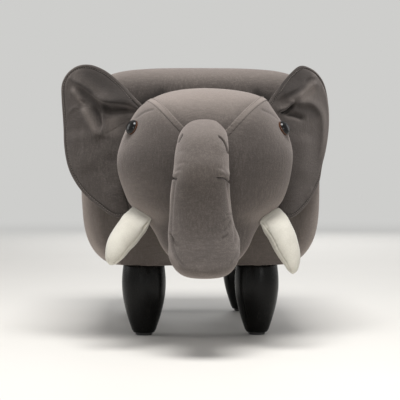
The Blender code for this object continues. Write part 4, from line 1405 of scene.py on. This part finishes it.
earShape = {
    "hinge": (0.0809, -0.1533, 0.246),  # middle of the sewn edge, on the right
    "lean": 10.5,  # degrees, the top of the sewn edge leans inwards
    "sweep": {"left": 24, "right": 35},  # degrees back from straight out
    "hemWidth": 0.005,
    "hemHalf": 0.0019,
    "puffHalf": 0.0046,
    "around": 112,
    "hemSteps": (0.0, 0.0012, 0.0028, 0.0043, 0.0053, 0.0066, 0.0090),
    "inSteps": 15,
    "fullAt": 0.030,  # how far in the filling has its full depth
    "hemRound": 0.0026,
    "held": (1.5, 0.5),  # what the cloth run holds, as shares of the hem's width from the edge
    "evened": (90, 1.1, 1.9),  # depth and width of the hem's seam, and how dark its painted shade is
    "groove": (0.0009, 0.0011, 0.55),  # depth and width of the hem's seam, and how dark it is
    "rootDepth": (0.004, -0.010, -0.020, -0.010, 0.004),  # inside the head, from the top down
    "rootHeights": (0.316, 0.290, 0.246, 0.205, 0.172),
    "outline": {
        # in the photograph's pixels, from the top of the root round to its bottom
        "left": (
            (148, 109), (140, 101.8), (126, 87.3), (112.4, 75.3), (102.5, 68.7), (90.4, 64.5), (78.4, 65.8),
            (68.5, 73), (62.7, 84), (62.4, 98), (64, 123), (65.2, 147), (68, 164), (73.3, 178), (84.2, 194),
            (100, 208), (114.5, 217.5), (126, 217),
        ),
        "right": (
            (262, 109), (268.5, 101), (274, 92.5), (282, 82), (291.7, 71.7), (300, 65.5), (308.6, 66.6),
            (320, 73.8), (328.5, 86), (333.5, 102), (334.5, 122), (332.5, 142), (328.5, 161), (321.5, 181),
            (310, 201.5), (297.4, 215), (288, 219), (280, 216),
        ),
    },
    "folds": {
        # soft folds: line and width in the photograph's pixels, how far the ear moves forward, in metres
        "left": (
            (((105, 110), (113, 110.5), (123, 109.5), (140, 109)), 4.6, -0.0075),
            (((73, 87), (78, 94), (82, 100), (86, 107)), 3.4, 0.0030),
            (((82, 101), (85, 102.5), (88, 104)), 1.2, -0.0018),
            (((86, 106), (80, 107), (74, 110), (68, 117)), 1.8, 0.0010),
            (((84, 104), (88.5, 113), (93.5, 124), (99, 134), (103, 142)), 4.2, 0.0044),
            (((94, 106), (99.5, 113), (102.6, 121), (103.8, 131)), 3.2, -0.0030),
            (((80, 128), (84, 150), (94, 176)), 13.0, 0.0030),
            (((83, 118), (82, 138), (84, 160)), 3.0, -0.0010),
            (((112, 150), (112, 172), (114, 194)), 8.0, -0.0028),
        ),
        "right": (
            (((280, 114.5), (290, 115.5), (297, 117.5), (305, 120.5)), 2.4, -0.0044),
            (((281, 102.5), (291, 98.5), (300, 93), (306, 87.5), (313, 84), (322, 86)), 3.6, 0.0044),
            (((301, 132), (300, 155), (296, 185)), 10.0, 0.0030),
            (((313, 186), (309, 194), (305, 202)), 2.5, 0.0012),
            (((276, 113), (283, 112), (288, 108.8), (292, 102.5)), 1.6, -0.0085),
        ),
    },
    "lips": {
        # sharp folds: line, widths to its right as it runs and to its left, in pixels, how far forward
        # the ear moves at its start and at its end, in metres
        "left": (
            (((64, 76), (79, 84), (88, 89.5), (95, 94.8), (101, 99.4), (107, 102.4), (113, 104), (120, 104.6),
              (130, 106.5), (147, 111)), 1.7, 12.0, 0.0042, 0.0088),
            (((104, 112), (104.8, 121), (104.4, 129), (102, 139)), 1.8, 7.0, 0.0018, 0.0018),
        ),
        "right": (
            (((272, 102), (285, 93.5), (293, 90), (299, 85.5), (303, 80), (309, 77.5), (322, 79)),
             2.4, 10.0, 0.0044, 0.0034),
            (((286, 102.5), (297, 104.5), (306, 104.5), (313, 108), (318.5, 115), (320.5, 124), (320.5, 140),
              (317, 165)), 1.8, 7.0, 0.0040, 0.0028),
            (((275, 112.5), (283, 110.5), (287, 107.5), (291.5, 101)), 0.8, 3.5, 0.0046, 0.0046),
        ),
    },
    "paintedShadeLines": {
        # painted shade in the folds: line and width in pixels, how much
        "left": (
            (((102, 106.5), (108, 106), (114, 106), (121, 106), (130, 107)), 3.8, 0.75),
            (((76, 73), (93, 76), (108, 86), (124, 98), (136, 106)), 10.0, 0.54),
            (((66, 77.5), (76, 81.8), (84, 86), (92, 91), (99, 97.5)), 1.5, 0.5),
            (((78, 88), (87, 95), (95, 103), (101, 111), (104, 119)), 5.0, 0.46),
            (((93, 108), (98, 114), (101.5, 121), (103, 131)), 2.4, 0.25),
        ),
        "right": (
            (((276, 112.6), (283, 111.4), (287.4, 108.2), (291, 102.4)), 1.9, 1.2),
            (((281, 114.5), (290, 115.5), (297, 117.5), (303, 120)), 2.0, 0.45),
            (((278, 99.5), (286, 95), (294, 91.5), (300, 87), (304, 81.5), (315, 79.5)), 3.0, 0.36),
            (((276, 96), (286, 87), (295, 79), (303, 73), (313, 74)), 7.0, 0.85),
            (((288, 110), (301, 110), (310, 113), (316, 121)), 6.0, 0.36),
        ),
    },
    "lights": {
        # painted light where the folds catch the light: line and width in pixels, how much
        "left": (
            (((73, 88), (78, 94), (82, 100), (86, 107)), 2.0, 0.4),
            (((83, 104), (89, 115), (94.5, 125), (100, 137)), 3.2, 0.45),
            (((112, 116), (115, 126), (116, 140)), 7.0, 0.32),
        ),
        "right": (
            (((284, 101.5), (292, 99), (301, 94), (307, 88.5), (318, 86)), 3.4, 0.35),
            (((294, 98.5), (302, 96), (309, 91), (317, 86)), 6.0, 0.8),
            (((323, 104), (325.5, 122), (324.5, 142), (321, 165)), 2.6, 0.34),
        ),
    },
    "shade": {"left": 0.36, "right": 0.5},  # painted shade: the ears are painted darker, the right one more
    "backShade": 0.3,  # share of that on the back
    "darkest": 0.96,
    "paintedLightUp": 0.2,
    "rollBack": {"left": 0.0, "right": 0.009},  # how far the outer edge turns back, and over which pixel rows
    "rollRows": (74, 106, 160, 186),
    "rollWidth": 0.011,
    "rollFrom": 0.06,  # how far out from the root it starts
    "curl": {"left": 0.003, "right": -0.004},  # how far the outer edge bends forward, and where
    "curlFrom": (0.03, 0.12),
    "stitchFrom": 0.012,
    "pressure": 3.0,
    "cap": 0.0018,
    "bend": 0.055,  # width of the root that would give when the ear flaps; the point made from it is not used
}


class EarPlane:
    # the flat sheet that the ear is cut from
    def __init__(self, shape, side):
        self.sign = signOf[side]
        self.hinge = np.array(shape["hinge"]) * (self.sign, 1, 1)
        lean, sweep = math.radians(shape["lean"]), math.radians(shape["sweep"][side])
        axis = np.array((-self.sign * math.sin(lean), 0, math.cos(lean)))
        self.axis = axis
        self.out = np.array((self.sign * math.cos(sweep), math.sin(sweep), 0))
        front = np.cross(axis, self.out)
        self.front = front / np.linalg.norm(front) * -np.sign(front[1])
        self.up = np.cross(self.front, self.out)
        self.up *= np.sign(self.up[2])

    def flat(self, points):
        rel = np.asarray(points) - self.hinge
        return np.stack((rel @ self.out, rel @ self.up), axis=1)

    def solid(self, flat):
        flat = np.asarray(flat)
        return self.hinge + flat[:, :1] * self.out + flat[:, 1:2] * self.up


def earBend(shape, side, plane, flat, away):
    # how far the sheet stands forward at each place
    spots = pixelsOf(plane.solid(flat))
    bend = shape["curl"][side] * step(*shape["curlFrom"], flat[:, 0])
    bend = bend + folds(spots, shape["folds"][side], 0.28)
    for values in shape["lips"][side]:
        bend = bend + lip(spots, *values)
    start, full, last, end = shape["rollRows"]
    rows = step(start, full, spots[:, 1]) * (1 - step(last, end, spots[:, 1]))
    turned = np.clip(1 - away / shape["rollWidth"], 0, 1) ** 1.6 * (flat[:, 0] > shape["rollFrom"])
    return bend - shape["rollBack"][side] * rows * turned


def earEdge(shape, side, plane):
    outer = [plane.flat([onPlane(s, plane.hinge, plane.front)])[0] for s in shape["outline"][side]]
    root = []
    for depth, z in zip(shape["rootDepth"][::-1], shape["rootHeights"][::-1]):
        on = plane.hinge + plane.axis * (z - plane.hinge[2]) / plane.axis[2]
        root.append(plane.flat([on])[0] + (-depth, 0))
    return evenly(outer + root, shape["around"], closed=True)


def earSheet(shape, side, plane, edge, loop):
    # two layers, from the middle of the front over the hem to the middle of the back
    middle = edge.mean(0)
    reach = np.linalg.norm(edge - middle, axis=1)
    hems = [1 - d / reach for d in shape["hemSteps"]]
    inner = [hems[-1] * s for s in np.linspace(1, 0, shape["inSteps"] + 1)[1:-1]]
    front, back = [], []
    for share in hems + inner:
        flat = middle + (edge - middle) * share[:, None]
        away = nearLine(flat, loop)[0]
        half = shape["hemHalf"] * np.sqrt(np.clip(away / shape["hemRound"], 0, 1))
        half += (shape["puffHalf"] - shape["hemHalf"]) * step(shape["hemWidth"], shape["fullAt"], away)
        front.insert(0, plane.solid(flat) + half[:, None] * plane.front)
        back.append(plane.solid(flat) - half[:, None] * plane.front)
    return lofted(f"ear.{side}", front + back[1:], front[0].mean(0), back[-1].mean(0))


def makeEar(shape, side):
    plane = EarPlane(shape, side)
    hem, edge = shape["hemWidth"], earEdge(shape, side, plane)
    loop = np.vstack((edge, edge[0]))
    made = earSheet(shape, side, plane, edge, loop)
    gap = nearLine(plane.flat(coordsOf(made.data)), loop)[0]
    puff(made, step(*shape["held"], gap / hem), shape["pressure"], shape["cap"], evened=30)
    finer(made, 2)
    coords, normals = coordsOf(made.data), normalsOf(made.data)
    flat = plane.flat(coords)
    gap = nearLine(flat, loop)[0]
    depth = (coords - plane.hinge) @ plane.front
    rounds, start, full = shape["evened"]
    moved = (smoothed(made, depth, rounds) - depth) * step(start, full, gap / hem)
    moved += smoothed(made, earBend(shape, side, plane, flat, gap), 3)
    depth, width, dark = shape["groove"]
    groove = bell(gap - hem, width)
    setCoords(made, coords - normals * (depth * groove)[:, None] + moved[:, None] * plane.front)
    spots, ahead = pixelsOf(plane.solid(flat)), normals @ plane.front
    # painted shade: the ears darker, less on the back, and darker in the hem's groove and the folds
    behind = shape["backShade"]
    paintedShade = shape["shade"][side] * (behind + (1 - behind) * step(-0.6, 0.2, ahead)) + dark * groove
    paintedShade += folds(spots, shape["paintedShadeLines"][side], 0.2) * (ahead > 0)
    mark(made, "paintedShade", np.clip(paintedShade, 0, shape["darkest"]))
    # painted light where the folds catch the light
    lighter = folds(spots, shape["lights"][side], 0.25) * (ahead > 0)
    dress(made, velvet, up=shape["paintedLightUp"], more=lighter)
    return made, plane, edge


def hemStitches(shape, side, ear, plane, edge):
    tree = treeOf(ear)
    middle = edge.mean(0)
    reach = np.linalg.norm(edge - middle, axis=1, keepdims=True)
    line = evenly(middle + (edge - middle) * (1 - shape["hemWidth"] / reach), 400, closed=True)
    line = line[line[:, 0] > shape["stitchFrom"]]
    jump = np.linalg.norm(np.diff(line, axis=0), axis=1).argmax() + 1
    if np.linalg.norm(line[0] - line[-1]) < 0.02:
        line = np.vstack((line[jump:], line[:jump]))
    rows = []
    for face, way in (("front", 1), ("back", -1)):
        out = plane.front * way
        hits = [tree.ray_cast(Vector(p + out * 0.08), Vector(-out))[0] for p in plane.solid(line)]
        path = [np.array(hit) + out * 0.0001 for hit in hits if hit is not None]
        rows.append(stitchRow(f"earStitches.{side}.{face}", path, 11 + way))
    return rows


for side in signOf:
    ear, plane, edge = makeEar(earShape, side)
    end = plane.hinge + plane.out * earShape["bend"]
    rows = hemStitches(earShape, side, ear, plane, edge)
    for piece in [ear] + rows:
        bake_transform(piece)
    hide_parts(f"ear_{side}")
    print("ear made:", side, len(ear.data.polygons), "faces")


# Eyes: domed plastic, black with a brown rim

eyeShape = {
    "radius": 0.0098,
    "dome": 0.0076,
    "fullness": 0.9,
    "foot": ((0.98, 0.0006), (0.7, 0.0030), (0, 0.0035)),  # under the dome: share of the radius, how deep
    "height": {"left": 0.784, "right": 0.776},  # share of the head's height
    "turn": {"left": 22.5, "right": 20.5},  # degrees forward from the head's side
    "drop": {"left": 0.0016, "right": 0.0030},
    "sides": 48,
    "steps": 20,
    "rim": (0.968, 0.978),  # where the black ends, as shares of the radius
}


def eyeMaterial(shape):
    made, shader, where = newMaterial("eyeGloss")
    fleck = where.noise(900, 3, 0.6)
    brown = fleck.between(0.35, 0.65).blend(tone(48, 28, 17), tone(92, 56, 34))
    setInputs(shader, {
        "Base Color": where.painted("rim").between(*shape["rim"]).blend(tone(4, 4, 4), brown),
        "Roughness": 0.05 + 0.05 * fleck,
        "IOR": 1.38,
    })
    return made


def eyePlace(shape, side, tree):
    low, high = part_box("head_cover")
    height = low.z + shape["height"][side] * (high.z - low.z)
    ring = min(headRings(headShape)[0], key=lambda level: abs(level[0][2] - height))
    share = shape["turn"][side] / 360
    spot = ring[int(round((share if side == "right" else 0.5 - share) * len(ring)))]
    return tree.find_nearest(Vector(spot - (0, 0, shape["drop"][side])))[:2]


def makeEye(shape, side, look, tree):
    place, normal = eyePlace(shape, side, tree)
    place = np.array(place)
    first, second, out = np.array(normal.to_track_quat("Z", "Y").to_matrix()).T
    profile = []
    for a in np.linspace(0, math.pi / 2, shape["steps"]):
        profile.append((math.sin(a), shape["dome"] * math.cos(a) ** shape["fullness"], math.sin(a)))
    profile += [(wide, -deep, 1.0) for wide, deep in shape["foot"]]
    rings, rims = [], []
    for wide, up, rim in profile[1:-1]:
        radius = wide * shape["radius"]
        rings.append(ringAt(place + out * up, radius * first, radius * second, shape["sides"]))
        rims += [rim] * shape["sides"]
    top, under = (place + out * profile[k][1] for k in (0, -1))
    made = lofted(f"eye.{side}", rings, top, under)
    mark(made, "rim", rims + [0.0, 1.0])
    dress(made, look)
    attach(made, "stool")
    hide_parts(f"eye_{side}")


eyeGloss = eyeMaterial(eyeShape)
headTree = treeOf(head)
for side in signOf:
    makeEye(eyeShape, side, eyeGloss, headTree)
print("eyes made")


# Legs: turned and lacquered

legShape = {
    "foot": 0.0150,
    "belly": 0.0297,
    "top": 0.0277,
    "bellyAt": 0.73,
    "edge": 0.0022,  # rounding of the foot; the top's is half of it
    "sides": 72,
    "steps": 56,
}


def legRadius(shape, share):
    foot, belly, top, bellyAt = shape["foot"], shape["belly"], shape["top"], shape["bellyAt"]
    if share <= bellyAt:
        return foot + (belly - foot) * math.sin(math.pi / 2 * share / bellyAt)
    return belly - (belly - top) * (1 - math.cos(math.pi / 2 * (share - bellyAt) / (1 - bellyAt)))


def makeLeg(shape, name):
    low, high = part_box(f"leg_{name}")
    middle = (low + high) / 2
    height, edge, topEdge = high.z - low.z, shape["edge"], 0.5 * shape["edge"]
    foot, top = legRadius(shape, 0), legRadius(shape, 1)
    profile = []
    for a in np.linspace(0, math.pi / 2, 7):
        profile.append((foot - edge * (1 - math.sin(a)), low.z + edge * (1 - math.cos(a))))
    for share in np.linspace(edge / height, 1 - topEdge / height, shape["steps"])[1:]:
        profile.append((legRadius(shape, share), low.z + share * height))
    for a in np.linspace(0, math.pi / 2, 5)[1:]:
        profile.append((top - topEdge * (1 - math.cos(a)), high.z - topEdge * (1 - math.sin(a))))
    rings = [
        ringAt((middle.x, middle.y, z), np.array((r, 0, 0)), np.array((0, r, 0)), shape["sides"])
        for r, z in profile
    ]
    made = lofted(f"leg.{name}", rings, (middle.x, middle.y, low.z), (middle.x, middle.y, high.z))
    dress(made, lacquer)
    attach(made, "stool")
    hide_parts(f"leg_{name}")


for end in ("front", "rear"):
    for side in signOf:
        makeLeg(legShape, f"{end}_{side}")
print("legs made")


# Tail: a thin stuffed tube with a tuft

tailShape = {
    "drop": 0.125,
    "radius": 0.0060,
    "offset": 0.0112,
    "sides": 20,
    "rings": 60,
    "profile": (
        # share of the length, share of the radius
        (0.0, 1.15), (0.06, 1.0), (0.45, 0.95), (0.66, 0.88), (0.70, 0.70), (0.74, 0.74), (0.80, 0.72),
        (0.92, 0.6), (0.985, 0.3),
    ),
    "binding": (0.70, 0.735),  # wound thread, as shares of the length
    "bindingRadius": 0.75,  # as a share of the tail's
    "winds": 9,
    "bindingThread": {"Pitch": 0.0010, "Length": 0.0016, "Thread": 0.00034, "Uneven": 0.12},
    "strands": 150,
    "strand": {"Length": 0.031, "Radius": 0.00055},
    "tuftRadius": 0.0040,
    "spread": 0.085,
}

tufting = copyTree(
    "tuft", ("Length", "Radius"),
    {
        "strand": ("GeometryNodeMeshCone",),
        "way": ("GeometryNodeInputNamedAttribute", {"data_type": "FLOAT_VECTOR"}),
    },
    (
        ("strand", "Vertices", 5), ("strand", "Side Segments", 3), ("strand", "Radius Top", 0.0001),
        ("way", "Name", "way"), ("vary", 2, 0.78), ("vary", 3, 1.04),
    ),
    (
        ("given", "Radius", "strand", "Radius Bottom"), ("given", "Length", "strand", "Depth"),
        ("way", "Attribute", "turn", "Vector"), ("given", "Geometry", "place", "Points"),
        ("strand", "Mesh", "place", "Instance"), ("vary", 1, "place", "Scale"),
    ),
)


def makeTuft(shape, middle):
    # strands that hang in a loose cone from the bound end of the tail
    k = np.arange(shape["strands"]) + 0.5
    out, turn = np.sqrt(k / shape["strands"]), k * math.pi * (3 - math.sqrt(5))
    ring = np.stack((out * np.cos(turn), out * np.sin(turn), np.zeros(len(k))), axis=1)
    roots = np.asarray(middle) + shape["tuftRadius"] * ring - (0, 0, 0.001) * out[:, None]
    ways = ring * shape["spread"] * (0.7 + 0.5 * np.sin(k * 2.4))[:, None] + (0, 0, -1.0)
    made = newPiece("tailTuft", roots)
    layer = made.data.attributes.new("way", "FLOAT_VECTOR", "POINT")
    layer.data.foreach_set("vector", ways.astype(np.float32).ravel())
    grown(made, tufting, {**shape["strand"], "Seed": 5, "Look": thread})
    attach(made, "tail")


def makeTail(shape):
    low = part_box("tail")[0]
    offset, rootZ = shape["offset"], low.z + shape["drop"]
    back = low.y + offset
    path = [(0, low.y, rootZ), (0, low.y + 0.6 * offset, rootZ - 0.001), (0, back, rootZ - offset)]
    path += [(0, back, rootZ - share * shape["drop"]) for share in (0.3, 0.5, 0.7, 0.85, 1.0)]
    line = evenly(path, shape["rings"])
    along = unit(np.gradient(line, axis=0))
    side = np.array((1.0, 0, 0))
    table = through(shape["profile"], 120)
    radius = shape["radius"] * np.interp(np.linspace(0, 1, len(line)), table[:, 0], table[:, 1])
    rings = []
    for p, a, r in zip(line, along, radius):
        rings.append(ringAt(p, r * side, r * np.cross(a, side), shape["sides"]))
    made = lofted("tailCover", rings, line[0], line[-1])
    finer(made, 1)
    dress(made, velvet)
    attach(made, "tail")
    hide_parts("tail")
    first, last = (line[int(round(share * (len(line) - 1)))] for share in shape["binding"])
    winds = np.linspace(0, shape["winds"] * 2 * math.pi, 140)
    down = np.linspace(first[2], last[2], len(winds))
    wide = shape["bindingRadius"] * shape["radius"]
    coil = np.stack((wide * np.cos(winds), first[1] + wide * np.sin(winds), down), axis=1)
    wound = stitchRow("tailBinding", coil, 7, shape["bindingThread"])
    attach(wound, "tail")
    makeTuft(shape, last)


makeTail(tailShape)
print("tail made")


# What is left of the frame gets its finish

finishes = (
    (("board", "block"), plywood), (("bolt", "nut", "screw"), steel), (("glide", "washer"), plastic),
    (("dust",), dustCloth),
)
for name, node in nodes.items():
    for words, look in finishes:
        if any(word in name for word in words):
            dress(node, look)
